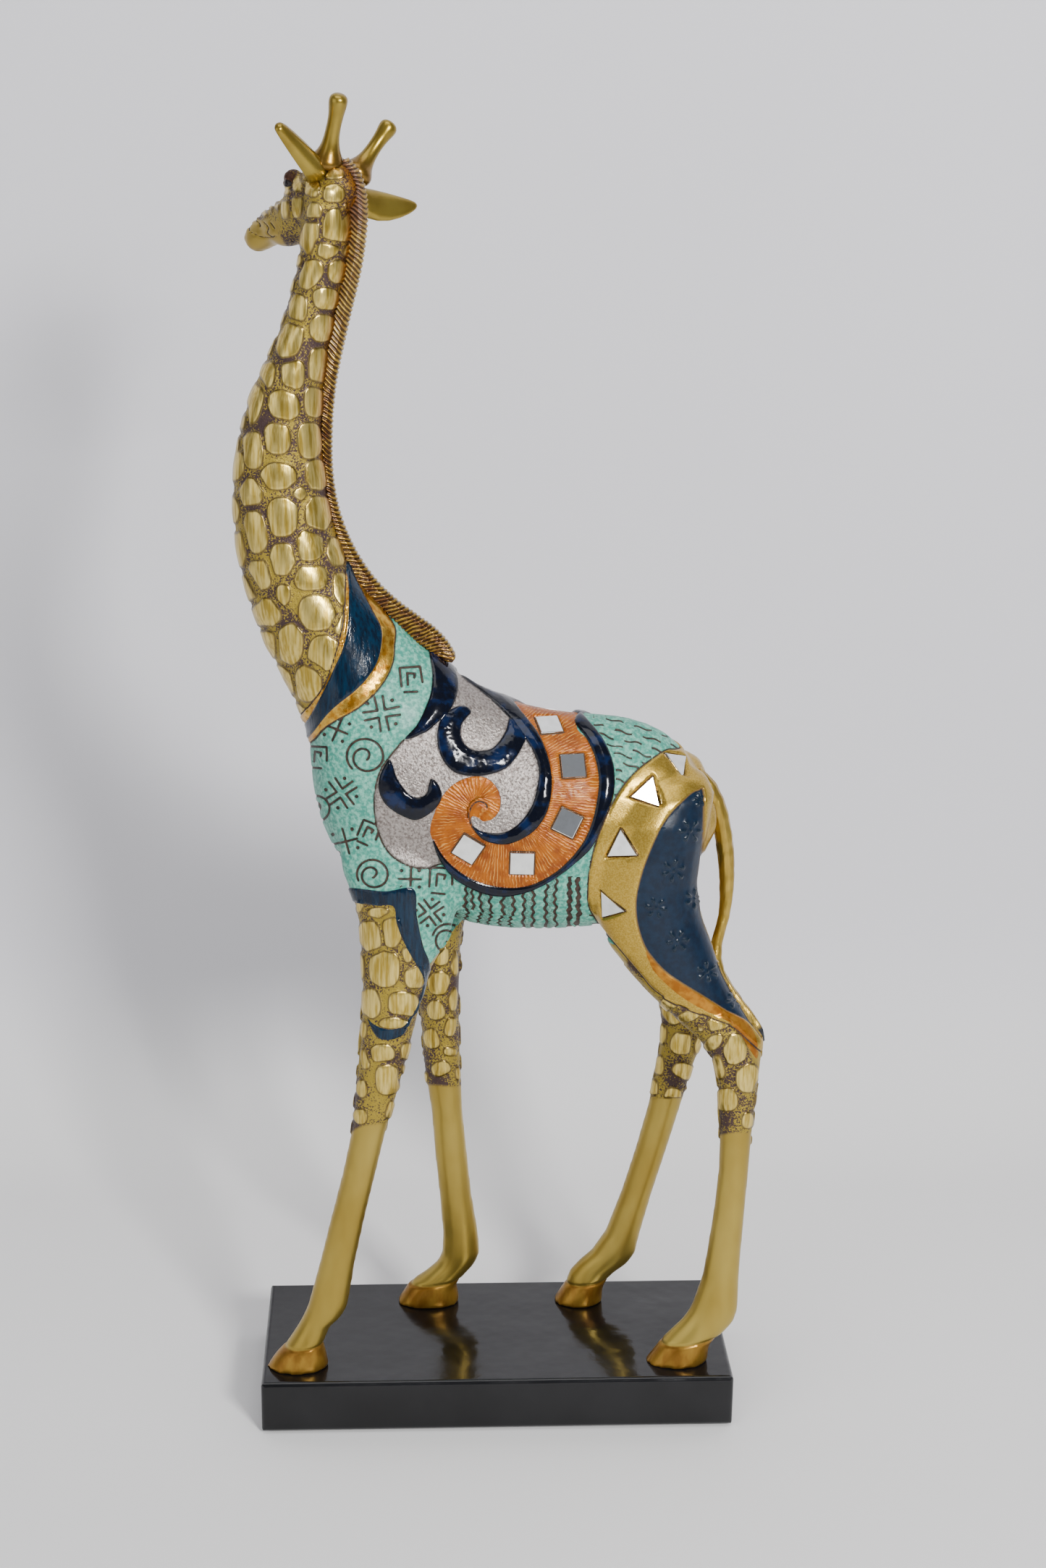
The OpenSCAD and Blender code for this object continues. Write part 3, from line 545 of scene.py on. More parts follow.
bodyBlank = {
    "nodes": ["torso", "neck", "head", "front_left_leg", "front_right_leg", "rear_left_leg", "rear_right_leg",
              "neck_pin", "head_pin"],
    "voxel": 1.34,
    "rounds": 45,
    "crown": 2.8,  # how far the skull rises round the horns
}
legNames = ["front_left_leg", "front_right_leg", "rear_left_leg", "rear_right_leg"]
mirrorNodes = sorted(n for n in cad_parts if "_mirror_" in n)

body = castBlank("body_blank", bodyBlank["nodes"] + mirrorNodes, bodyBlank["voxel"])
relax(body.data, bodyBlank["rounds"])
refined(body)
print("body blank has", len(body.data.vertices), "points")

headOrigin = Vector((-61, 0, 521))
headTurn = (Matrix.Rotation(math.radians(-42), 3, "Z") @ Matrix.Rotation(math.radians(-31), 3, "Y")
            @ Matrix.Rotation(math.radians(-23), 3, "X"))


# Lifts the top of the skull round the horns' roots
def raiseCrown():
    co = vertexPlaces(body.data) / mm
    local = (co - np.array(headOrigin)) @ np.array(headTurn)
    far = np.linalg.norm((local - [-1.5, 0, -1]) / [8.5, 11, 9], axis=1)
    lift = bodyBlank["crown"] * np.exp(-(far**2.4)) * (co[:, 2] > 495)
    setPlaces(body.data, (co + lift[:, None] * np.array(headTurn @ Vector((0.12, 0, 1)))) * mm)


raiseCrown()
places = vertexPlaces(body.data) / mm
normals = vertexNormals(body.data)


# Middle line of a leg, as x and y against height, from its CAD node
def legAxis(node):
    co = vertexPlaces(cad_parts[node].data) / mm
    levels, mids = [], []
    for z in np.arange(30, co[:, 2].max(), 6):
        ring = co[np.abs(co[:, 2] - z) < 8]
        if len(ring) > 7:
            levels.append(z)
            mids.append((ring.min(0) + ring.max(0))[:2] / 2)
    return levels, np.array(mids)


legAxes = {name: legAxis(name) for name in legNames}


def axisAt(node, z):
    levels, mids = legAxes[node]
    return np.interp(z, levels, mids[:, 0]), np.interp(z, levels, mids[:, 1])


def smoothNoise(co, size, seed):
    rng = np.random.default_rng(seed)
    total = np.zeros(len(co))
    for _ in range(7):
        direction = rng.normal(size=3)
        direction /= np.linalg.norm(direction)
        total += np.sin(co @ direction * (2 * math.pi / size) * rng.uniform(0.7, 1.4) + rng.uniform(0, 6.28))
    return total / 3.5


# Where every point of the skin reads its pattern, and whether it is on the inner side of a leg
def patternPlaces():
    shown = places.copy()
    shown[:, 1] = -np.abs(shown[:, 1])
    inner = np.zeros(len(places), bool)
    z = places[:, 2]
    for front in (True, False):
        left, right = ("front_left_leg", "front_right_leg") if front else ("rear_left_leg", "rear_right_leg")
        leftX, leftY = axisAt(left, z)
        rightX, rightY = axisAt(right, z)
        region = (z < 228) & (places[:, 0] < 8) if front else (z < 204) & (places[:, 0] > 8)
        region &= np.abs(places[:, 1]) > 8
        onRight = places[:, 1] > 0
        slide = rightX - leftX
        innerLeft = region & ~onRight & (places[:, 1] > leftY)
        innerRight = region & onRight & (places[:, 1] < rightY)
        outerRight = region & onRight & ~innerRight
        shown[innerRight, 1] = places[innerRight, 1]
        shown[innerLeft, 0] += slide[innerLeft]
        shown[innerLeft, 1] = -places[innerLeft, 1]
        fade = ramp(z, 250, 222) if front else ramp(z, 215, 195)
        shown[outerRight, 0] -= (slide * fade)[outerRight]
        inner |= innerLeft | innerRight
    fromHead = places[:, 2] > 486
    local = (places[fromHead] - np.array(headOrigin)) @ np.array(headTurn)
    local[:, 1] = -np.abs(local[:, 1])
    turned = local @ np.array(headTurn).T + np.array(headOrigin)
    blend = ramp(places[fromHead, 2], 488, 500)[:, None]
    shown[fromHead] = shown[fromHead] * (1 - blend) + turned * blend
    return shown, inner


shown, inner = patternPlaces()
wobble = np.stack([smoothNoise(places, 9, 3), smoothNoise(places, 9, 4)], 1)


def throwOnPlane(co, plane):
    fx, fy, fz = stencil["from"]
    t = (plane - fy) / (co[:, 1] - fy)
    return np.stack([fx + t * (co[:, 0] - fx), fz + t * (co[:, 2] - fz)], 1)


at = throwOnPlane(shown, stencil["plane"])
paint = {name: regionDistance(at, smoothLine(points, True)) for name, points in loops.items()}
print("regions measured")

outward = normals[:, 1] * np.sign(places[:, 1])
hide = {name: regionDistance(at, smoothLine(points, True)) for name, points in hideLoops.items()}
x, z = places[:, 0], places[:, 2]
# Where one paint gives way to the next, as heights and as places along the body
borders = {
    "betweenLegs": 8,
    "frontLegTop": 240,
    "rearLegTop": 215,
    "scrollFoot": 211,
    "innerYokeFoot": 198,
    "rearYokeFoot": 200,
    "thighFront": 24,
    "thighFoot": 214,
    "yokeTop": 380,
    "cuffTop": 245,
    "haunchFront": 20,
    "rumpBack": 60,
    "rumpHalf": 14,
    "rumpTop": 260,
    "marksEnd": -14.5,
    "belly": (-16, 36),
    "bellyTop": 245,
    "muzzleFront": -80,
    "muzzleFoot": 480,
}
onFrontLeg = (z < borders["frontLegTop"]) & (x < borders["betweenLegs"])
onRearLeg = (z < borders["rearLegTop"]) & (x > borders["betweenLegs"])
paint["hide"] = np.where(onFrontLeg, np.where(inner, hide["innerFront"], hide["outerFront"]),
                         np.where(onRearLeg, np.where(inner, hide["innerRear"], hide["outerRear"]),
                                  hide["neck"]))
paint["hide"] = np.where((z > 240) & (x > -40) & (z < 330), -reach, paint["hide"])


def spotsOn(group, gap, swell):
    spots = [(sx, sz, a * swell + (0.45 if a < 3 and sz > 495 else 0), b * swell, lean)
             for sx, sz, a, b, lean in group["spots"]]
    return spotField(throwOnPlane(shown, group["plane"]) + wobble * 0.35, spots, gap)


neckField = np.maximum(spotsOn(neckSpots, 0.75, 1.02), spotsOn(throatSpots, 0.6, 1.02))
frontField = np.where(inner, spotsOn(innerFrontSpots, 0.7, 1.02), spotsOn(outerFrontSpots, 0.7, 1.02))
rearField = np.where(inner, spotsOn(innerRearSpots, 0.7, 1.02), spotsOn(outerRearSpots, 0.7, 1.02))
paint["plate"] = np.where(onFrontLeg, frontField, np.where(onRearLeg, rearField, neckField))
paint["plate"] = np.minimum(paint["plate"], paint["hide"] - 0.2)
fromInk = inkField(at)
bar, barEdge = bellyBars(at, smoothNoise(places, 12, 8))
waves = rumpWaves(at, smoothNoise(places, 14, 9))
print("spots and marks measured")

# What lies on top hides what is under it
mirrored = np.ones_like(places)
mirrored[:, 1] = -np.sign(places[:, 1])
toMaker = np.array([stencil["from"]]) * mirrored - places
facing = (toMaker * normals).sum(1) / np.linalg.norm(toMaker, axis=1)
for name in ("field", "orange", "swoosh", "upperScroll", "lowerScroll", "crescent", "outerBand"):
    paint[name] = np.where((z < borders["scrollFoot"]) | inner, -reach,
                           np.minimum(paint[name], (facing + 0.12) * 25))
paint["yoke"] = np.where(onFrontLeg & inner, np.minimum(-paint["hide"], z - borders["innerYokeFoot"]),
                         paint["yoke"])
bareThigh = (x > borders["betweenLegs"]) & (z < borders["rearYokeFoot"])
bareThigh |= (x > borders["thighFront"]) & (z < borders["thighFoot"])
paint["yoke"] = np.where(bareThigh | (z > borders["yokeTop"]), -reach, paint["yoke"])
paint["cuff"] = np.where(inner | (z > borders["cuffTop"]), -reach, paint["cuff"])
paint["panel"] = np.where(inner, -reach, np.minimum(paint["panel"], (outward + 0.25) * 8))
paint["strip"] = np.where(inner, -reach, paint["strip"])
paint["haunch"] = np.where(x < borders["haunchFront"], -reach, paint["haunch"])
rump = (x > borders["rumpBack"]) & (np.abs(places[:, 1]) < borders["rumpHalf"]) & (z < borders["rumpTop"])
paint["haunch"] = np.where(rump, reach, paint["haunch"])
navy = np.maximum.reduce([paint[k] for k in ("swoosh", "upperScroll", "lowerScroll", "crescent",
                                             "outerBand")])
paint["navy"] = navy
paint["teal"] = np.maximum(paint["blueBand"], paint["cuff"])
bareYoke = np.minimum.reduce([paint["yoke"], -paint["field"], -paint["orange"], -navy, -paint["haunch"],
                              -paint["teal"], -paint["goldBand"]])
curlDistance = lineDistance(at, smoothLine(marks["curl"]))
inkEdge = np.where((paint["orange"] < 0.2) & (navy < 0.2), np.abs(paint["field"]), reach)
inkEdge = np.minimum(inkEdge, np.where(paint["panel"] < 0.2, np.abs(paint["haunch"]), reach))
inkEdge = np.minimum(inkEdge, np.where(paint["blueBand"] < 0.1, np.abs(paint["goldBand"]), reach))
inkEdge = np.minimum(inkEdge, np.where(paint["orange"] > -0.4, curlDistance, reach))
motifs = np.where((at[:, 0] < borders["marksEnd"]) & (bareYoke > -0.1), fromInk, reach)
bellyFront, bellyBack = borders["belly"]
onBelly = (at[:, 0] > bellyFront) & (at[:, 0] < bellyBack) & (at[:, 1] < borders["bellyTop"] + 2)
onBelly &= (bareYoke > 0.2) & (z < borders["bellyTop"])
bars = np.where(onBelly, barEdge, reach)
paint["bar"] = np.where(onBelly, bar, -reach)
waves = np.where((at[:, 0] > bellyBack) & (bareYoke > 0.3), waves, reach)
faceAt = throwOnPlane(shown, throatSpots["plane"])
onMuzzle = (x < borders["muzzleFront"]) & (z > borders["muzzleFoot"])
muzzle = np.where(onMuzzle, regionDistance(faceAt, smoothLine(marks["muzzle"], True)), -reach)
paint["hide"] = np.minimum(paint["hide"], -muzzle)
paint["plate"] = np.minimum(paint["plate"], -muzzle - 0.3)
faceLines = np.full(len(places), reach)
for line in marks["face"]:
    faceLines = np.minimum(faceLines, lineDistance(faceAt, smoothLine(line)))
faceLines = np.where(onMuzzle, faceLines + 0.15, reach)
nearestInk = np.minimum.reduce([motifs, bars - 0.12, waves + 0.1, inkEdge + 0.15, faceLines + 0.1])
paint["ink"] = marks["inkHalf"] - nearestInk
paint["flower"] = np.where(paint["panel"] > 0.3, flowerField(at), -reach)


# How far along the orange spiral each point lies, for the fine lines across it
def alongLine(at, line):
    best = np.full(len(at), 1e9)
    along = np.zeros(len(at))
    run = 0.0
    for a, b in zip(line[:-1], line[1:]):
        step = b - a
        length = np.hypot(*step)
        t = np.clip(((at - a) @ step) / length**2, 0, 1)
        d = ((at - a - t[:, None] * step) ** 2).sum(1)
        closer = d < best
        best[closer] = d[closer]
        along[closer] = run + t[closer] * length
        run += length
    return along


paint["along"] = alongLine(at, smoothLine(marks["orangePath"], steps=3))
maneCo = vertexPlaces(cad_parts["mane"].data) / mm
nearMane = np.full(len(places), 20.0)
byMane = np.nonzero((z > 340) & (x > -84))[0]
for chunk in np.array_split(byMane, 40):
    gaps = ((places[chunk][:, None, :] - maneCo[None, :, :]) ** 2).sum(2)
    nearMane[chunk] = np.sqrt(gaps.min(1))
paint["nearMane"] = nearMane
browPlace = np.array(headOrigin) + np.array(headTurn) @ np.array([-19.5, -9.2, 0.4])
eyePlace = np.array(headOrigin) + np.array(headTurn) @ np.array([-20.5, -11.8, -2.6])
fromBrow = np.linalg.norm((shown - browPlace) * [1, 1, 1.25], axis=1)
fromEye = np.linalg.norm((shown - eyePlace) * [1, 1, 1.5], axis=1)
paint["brow"] = np.where(z > 500, 3.9 - fromBrow, -reach)
paint["eye"] = np.where(z > 500, 2.3 - fromEye, -reach)
soles = vertexPlaces(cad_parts["base_plinth"].data)[:, 2].max() / mm
paint["hoof"] = np.full(len(places), -reach)
for name in legNames:
    midX, midY = axisAt(name, z)
    mine = (np.abs(places[:, 1] - midY) < 14) & (np.abs(x - midX) < 26) & (z < 60)
    mine &= np.sign(midY) == np.sign(places[:, 1])
    paint["hoof"] = np.where(mine, soles + 10.8 - z + 0.12 * (x - midX), paint["hoof"])
paint["plate"] = np.minimum(paint["plate"], -paint["brow"] + 0.2)
print("all paints laid out")


bed = {"depth": 1.0, "margin": 0.35, "wall": 0.75}


def tileFace(node):
    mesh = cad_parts[node].data
    co = vertexPlaces(mesh) / mm
    side = np.sign(co[:, 1].mean())
    widest = max((p for p in mesh.polygons if p.normal.y * side > 0.05), key=lambda p: p.area)
    n = np.array(widest.normal)
    high = co @ n
    rim = np.unique(np.round(co[high > high.max() - 0.05], 3), axis=0)
    middle = rim.mean(0)
    e1 = rim[0] - middle
    e1 /= np.linalg.norm(e1)
    e2 = np.cross(n, e1)
    flat = np.stack([(rim - middle) @ e1, (rim - middle) @ e2], 1)
    order = np.argsort(np.arctan2(flat[:, 1], flat[:, 0]))
    return middle, e1, e2, n, flat[order]


def layBeds(places):
    rim = np.full(len(places), -reach)
    for node in mirrorNodes:
        middle, e1, e2, n, outline = tileFace(node)
        d = places - middle
        rise = d @ n
        near = np.nonzero((np.abs(rise) < 4.5) & ((d**2).sum(1) < 144))[0]
        flat = np.stack([d[near] @ e1, d[near] @ e2], 1)
        inside = regionDistance(flat, outline)
        rim[near] = np.maximum(rim[near], inside)
        sink = ramp(inside, -bed["margin"] - bed["wall"], -bed["margin"])
        drop = np.minimum(-bed["depth"] - rise[near], 0) * sink
        places[near] += drop[:, None] * n
    return rim


relief = {
    "plate": 0.75, "plateDome": 0.35, "teal": 0.7, "goldBand": 0.35, "navyRim": 0.7, "navyDome": 0.9,
    "haunch": 0.5, "panel": -0.75, "flower": 0.5, "ink": -0.55, "grain": 0.12, "coronet": -0.55, "eye": 0.5,
    "lid": -0.5,
}


def raisedSkin():
    height = relief["plate"] * ramp(paint["plate"], -0.35, 0.45)
    height += relief["plateDome"] * ramp(paint["plate"], 0, 4)
    height += relief["goldBand"] * ramp(paint["goldBand"], -0.3, 0.5)
    height += relief["teal"] * ramp(paint["teal"], -0.3, 0.6)
    height += relief["navyRim"] * ramp(navy, -0.35, 0.5)
    height += relief["navyDome"] * np.sqrt(np.clip(navy, 0, 3.5) / 3.5)
    height += relief["haunch"] * ramp(paint["haunch"], -0.2, 1.2)
    height += relief["panel"] * ramp(paint["panel"], -0.4, 0.4)
    height += relief["flower"] * ramp(paint["flower"], -0.3, 0.4)
    height += relief["ink"] * ramp(paint["ink"], -0.45, 0.3)
    height += relief["coronet"] * np.exp(-((paint["hoof"] / 0.7) ** 2))
    height += relief["eye"] * ramp(paint["eye"], -0.3, 0.8)
    height += relief["lid"] * np.exp(-(((paint["eye"] + 0.7) / 0.5) ** 2))
    grain = smoothNoise(places, 3.1, 21) * smoothNoise(places, 2.3, 22)
    bareHide = ramp(paint["hide"], 0, 1) * ramp(-paint["plate"], 0, 0.6)
    height += relief["grain"] * grain * np.clip(np.maximum(bareHide, ramp(paint["field"], 0, 1)), 0, 1)
    return height


raised = places + normals * raisedSkin()[:, None]
paint["recess"] = layBeds(raised)
setPlaces(body.data, raised * mm)
for name in ("hide", "plate", "yoke", "field", "orange", "navy", "haunch", "panel", "strip", "goldBand",
             "teal",
             "ink", "bar", "flower", "recess", "hoof", "brow", "eye"):
    putAttribute(body.data, name, np.clip(paint[name], -reach, reach))
for name in ("along", "nearMane"):
    putAttribute(body.data, name, paint[name])
print("relief raised")


cuts = {
    "frontZ": 212.5,
    "rearZ": 190.0,
    "collar": ((-54, 0, 356), (-0.924, 0, 0.381)),
    "throatZ": 492.0,
    "most": 188000,  # triangles in the torso
}


def thinned(obj, most):
    obj.data.calc_loop_triangles()
    count = len(obj.data.loop_triangles)
    if count <= most:
        return
    thin = obj.modifiers.new("thin", "DECIMATE")
    thin.ratio = most / count
    settle(obj)


def cutAcross(bm, place, normal, low, high):
    near = [f for f in bm.faces if low < f.verts[0].co.z / mm < high]
    near = [f for f in near if (normal[2] < 1 or abs(f.verts[0].co.z / mm - place[2]) < 4)]
    geom = near + list({e for f in near for e in f.edges}) + list({v for f in near for v in f.verts})
    bmesh.ops.bisect_plane(bm, geom=geom, dist=1e-7, plane_co=Vector(place) * mm, plane_no=Vector(normal))


def pieceNumbers(co):
    x, y, z = co.T
    collarAt, collarUp = (np.array(v) for v in cuts["collar"])
    overCollar = (z > 290) & ((co - collarAt) @ collarUp > 0)
    number = np.where(overCollar, 1, 0)
    number[(z > cuts["throatZ"]) | ((x < -81.5) & (z > 480))] = 2
    legs = ((z < cuts["frontZ"]) & (x < 8)) | ((z < cuts["rearZ"]) & (x > 8))
    return np.where(legs, 3 + (y > 0) + 2 * (x > 8), number)


pieceOrder = ["torso", "neck", "head"] + legNames


def partBody(body):
    bm = bmesh.new()
    bm.from_mesh(body.data)
    cutAcross(bm, (0, 0, cuts["frontZ"]), (0, 0, 1), 208, 218)
    cutAcross(bm, (0, 0, cuts["rearZ"]), (0, 0, 1), 186, 194)
    cutAcross(bm, *cuts["collar"], 292, 366)
    cutAcross(bm, (0, 0, cuts["throatZ"]), (0, 0, 1), 488, 496)
    bmesh.ops.triangulate(bm, faces=bm.faces[:])
    whole = bpy.data.meshes.new("whole")
    bm.to_mesh(whole)
    bm.free()
    centres = np.empty(len(whole.polygons) * 3, np.float32)
    whole.polygons.foreach_get("center", centres)
    numbers = pieceNumbers(centres.reshape(-1, 3).astype(float) / mm)
    whole.polygons.foreach_set("material_index", numbers.astype(np.int32))
    pieces = {}
    for number, name in enumerate(pieceOrder):
        part = bmesh.new()
        part.from_mesh(whole)
        bmesh.ops.delete(part, geom=[f for f in part.faces if f.material_index != number], context="FACES")
        for face in part.faces:
            face.smooth = True
            face.material_index = 0
        rim = [e for e in part.edges if e.is_boundary]
        for edge in rim:
            edge.smooth = False
        filled = bmesh.ops.holes_fill(part, edges=rim, sides=0)["faces"]
        bmesh.ops.triangulate(part, faces=[f for f in filled if len(f.verts) > 3])
        bmesh.ops.recalc_face_normals(part, faces=part.faces[:])
        mesh = bpy.data.meshes.new(name + "_skin")
        part.to_mesh(mesh)
        part.free()
        pieces[name] = linked(name + "_skin", mesh)
    bpy.data.meshes.remove(whole)
    return pieces


body.data.calc_loop_triangles()
whole = len(body.data.loop_triangles)
share = sum(1 for v in raised if v[2] > cuts["rearZ"] and v[0] > -80 and v[2] < 345) / len(raised)
thinned(body, int(min(whole, cuts["most"] / max(share, 0.1))))
pieces = partBody(body)
bpy.data.objects.remove(body)
for name, piece in pieces.items():
    print(name, len(piece.data.polygons), "faces")


def newMaterial(name):
    material = bpy.data.materials.new(name)
    material.use_nodes = True
    return material, material.node_tree, material.node_tree.nodes["Principled BSDF"]


def addNode(tree, kind, **settings):
    node = tree.nodes.new(kind)
    for key, value in settings.items():
        setattr(node, key, value)
    return node


def plug(tree, socket, value):
    if isinstance(value, (int, float)):
        socket.default_value = value
    elif isinstance(value, tuple):
        socket.default_value = (*value, 1)
    else:
        tree.links.new(value, socket)


def objectPlaces(tree, stretch=(1, 1, 1)):
    coordinates = addNode(tree, "ShaderNodeTexCoord")
    mapping = addNode(tree, "ShaderNodeMapping")
    mapping.inputs["Scale"].default_value = stretch
    tree.links.new(coordinates.outputs["Object"], mapping.inputs["Vector"])
    return mapping.outputs["Vector"]


def noiseOf(tree, scale, detail=3.0, rough=0.55, stretch=(1, 1, 1)):
    noise = addNode(tree, "ShaderNodeTexNoise")
    noise.inputs["Scale"].default_value = scale
    noise.inputs["Detail"].default_value = detail
    noise.inputs["Roughness"].default_value = rough
    tree.links.new(objectPlaces(tree, stretch), noise.inputs["Vector"])
    return noise.outputs["Fac"]


def rampOf(tree, value, low, high, bottom=0.0, top=1.0):
    node = addNode(tree, "ShaderNodeMapRange", interpolation_type="SMOOTHSTEP")
    for key, number in (("From Min", low), ("From Max", high), ("To Min", bottom), ("To Max", top)):
        node.inputs[key].default_value = number
    plug(tree, node.inputs["Value"], value)
    return node.outputs["Result"]


def mathOf(tree, operation, a, b=0.0):
    node = addNode(tree, "ShaderNodeMath", operation=operation)
    plug(tree, node.inputs[0], a)
    plug(tree, node.inputs[1], b)
    return node.outputs[0]


def mixColours(tree, mask, a, b, mode="MIX"):
    node = addNode(tree, "ShaderNodeMix", data_type="RGBA", blend_type=mode)
    for socket, value in ((node.inputs[0], mask), (node.inputs[6], a), (node.inputs[7], b)):
        plug(tree, socket, value)
    return node.outputs[2]


def mixNumbers(tree, mask, a, b):
    node = addNode(tree, "ShaderNodeMix", data_type="FLOAT")
    for socket, value in ((node.inputs[0], mask), (node.inputs[2], a), (node.inputs[3], b)):
        plug(tree, socket, value)
    return node.outputs[0]


def attributeOf(tree, name):
    return addNode(tree, "ShaderNodeAttribute", attribute_name=name).outputs["Fac"]


def bumpFrom(tree, shader, height, distance=0.001):
    bump = addNode(tree, "ShaderNodeBump")
    bump.inputs["Distance"].default_value = distance
    plug(tree, bump.inputs["Height"], height)
    tree.links.new(bump.outputs["Normal"], shader.inputs["Normal"])


# Every paint: two colours mottled together, the mottle's size and stretch, and the finish.
# Bump is in millimetres.
paints = {
    "gold": {"light": (0.43, 0.315, 0.07), "dark": (0.33, 0.225, 0.04), "scale": 40, "stretch": (1, 1, 0.5),
             "span": (0.3, 0.7), "rough": 0.36, "metal": 0.85, "bump": 0.15},
    "ground": {"light": (0.33, 0.235, 0.03), "dark": (0.062, 0.036, 0.033), "scale": 1300,
               "stretch": (1, 1, 1),
               "span": (0.45, 0.56), "rough": 0.48, "metal": 0.5, "bump": 0.4},
    "plate": {"light": (0.74, 0.57, 0.17), "dark": (0.40, 0.27, 0.04), "scale": 150, "stretch": (5, 5, 0.5),
              "span": (0.32, 0.68), "rough": 0.3, "metal": 0.92, "bump": 0.10},
    "yoke": {"light": (0.20, 0.50, 0.38), "dark": (0.04, 0.25, 0.185), "scale": 620, "stretch": (1, 1, 1),
             "span": (0.36, 0.70), "rough": 0.45, "metal": 0.0, "bump": 0.36},
    "field": {"light": (0.38, 0.34, 0.31), "dark": (0.17, 0.14, 0.125), "scale": 950, "stretch": (1, 1, 1),
              "span": (0.3, 0.62), "rough": 0.33, "metal": 0.75, "bump": 0.55},
    "orange": {"light": (0.38, 0.10, 0.001), "dark": (0.24, 0.052, 0.0005), "scale": 190,
               "stretch": (1, 1, 1),
               "span": (0.35, 0.65), "rough": 0.34, "metal": 0.2, "bump": 0.05},
    "navy": {"light": (0.0022, 0.011, 0.046), "dark": (0.0006, 0.0015, 0.006), "scale": 150,
             "stretch": (1, 1, 1),
             "span": (0.45, 0.68), "rough": 0.13, "metal": 0.0, "bump": 0.16},
    "haunch": {"light": (0.54, 0.365, 0.07), "dark": (0.40, 0.25, 0.035), "scale": 1500, "stretch": (1, 1, 1),
               "span": (0.35, 0.65), "rough": 0.32, "metal": 0.92, "bump": 0.06},
    "strip": {"light": (0.46, 0.20, 0.02), "dark": (0.30, 0.10, 0.008), "scale": 260, "stretch": (1, 1, 1),
              "span": (0.35, 0.65), "rough": 0.36, "metal": 0.75, "bump": 0.05},
    "panel": {"light": (0.001, 0.012, 0.032), "dark": (0.0005, 0.006, 0.018), "scale": 420,
              "stretch": (1, 1, 1),
              "span": (0.3, 0.7), "rough": 0.36, "metal": 0.0, "bump": 0.08},
    "goldBand": {"light": (0.64, 0.38, 0.06), "dark": (0.40, 0.165, 0.012), "scale": 330,
                 "stretch": (1, 1, 1),
                 "span": (0.35, 0.6), "rough": 0.27, "metal": 0.92, "bump": 0.16},
    "teal": {"light": (0.001, 0.018, 0.042), "dark": (0.0005, 0.006, 0.016), "scale": 260,
             "stretch": (3, 3, 0.4),
             "span": (0.35, 0.7), "rough": 0.17, "metal": 0.0, "bump": 0.16},
    "ink": {"light": (0.055, 0.032, 0.022), "dark": (0.018, 0.010, 0.007), "scale": 500, "stretch": (1, 1, 1),
            "span": (0.35, 0.65), "rough": 0.6, "metal": 0.0, "bump": 0.05},
    "hoof": {"light": (0.34, 0.19, 0.028), "dark": (0.20, 0.09, 0.010), "scale": 160, "stretch": (1, 1, 0.5),
             "span": (0.3, 0.7), "rough": 0.34, "metal": 0.75, "bump": 0.06},
    "brow": {"light": (0.11, 0.04, 0.012), "dark": (0.045, 0.014, 0.006), "scale": 380, "stretch": (1, 1, 1),
             "span": (0.3, 0.7), "rough": 0.4, "metal": 0.45, "bump": 0.08},
    "eye": {"light": (0.02, 0.012, 0.01), "dark": (0.006, 0.004, 0.004), "scale": 300, "stretch": (1, 1, 1),
            "span": (0.3, 0.7), "rough": 0.12, "metal": 0.0, "bump": 0.02},
}
rimmed = {"plate": (0.06, 0.034, 0.018), "navy": (0.001, 0.001, 0.002), "panel": (0.22, 0.12, 0.02)}
edgeSoft = {"hide": 0.9, "hoof": 0.5, "brow": 0.8, "panel": 0.3}


def layPaint(tree, look, name, mask):
    settings = paints[name]
    mottle = noiseOf(tree, settings["scale"], stretch=settings["stretch"])
    low, high = settings["span"]
    spread = mottle
    if name == "ground":
        drift = mathOf(tree, "MULTIPLY", mathOf(tree, "SUBTRACT", noiseOf(tree, 70, 2), 0.5), 0.85)
        spread = mathOf(tree, "ADD", mottle, drift)
    colour = mixColours(tree, rampOf(tree, spread, low, high), settings["dark"], settings["light"])
    height = mathOf(tree, "MULTIPLY", mottle, settings["bump"])
    if name == "orange":
        lines = addNode(tree, "ShaderNodeMath", operation="SINE")
        bent = mathOf(tree, "ADD", mathOf(tree, "MULTIPLY", attributeOf(tree, "along"), 5.4),
                      mathOf(tree, "MULTIPLY", noiseOf(tree, 380), 5.0))
        tree.links.new(bent, lines.inputs[0])
        fine = rampOf(tree, lines.outputs[0], 0.45, 0.95)
        broken = mathOf(tree, "MULTIPLY", fine, rampOf(tree, noiseOf(tree, 300, 2), 0.42, 0.6))
        colour = mixColours(tree, mathOf(tree, "MULTIPLY", broken, 0.55), colour, (0.80, 0.40, 0.09))
        height = mathOf(tree, "ADD", height, mathOf(tree, "MULTIPLY", lines.outputs[0], 0.07))
    if look is None:
        return {"colour": colour, "rough": settings["rough"], "metal": settings["metal"], "height": height}
    return {
        "colour": mixColours(tree, mask, look["colour"], colour),
        "rough": mixNumbers(tree, mask, look["rough"], settings["rough"]),
        "metal": mixNumbers(tree, mask, look["metal"], settings["metal"]),
        "height": mixNumbers(tree, mask, look["height"], height),
    }


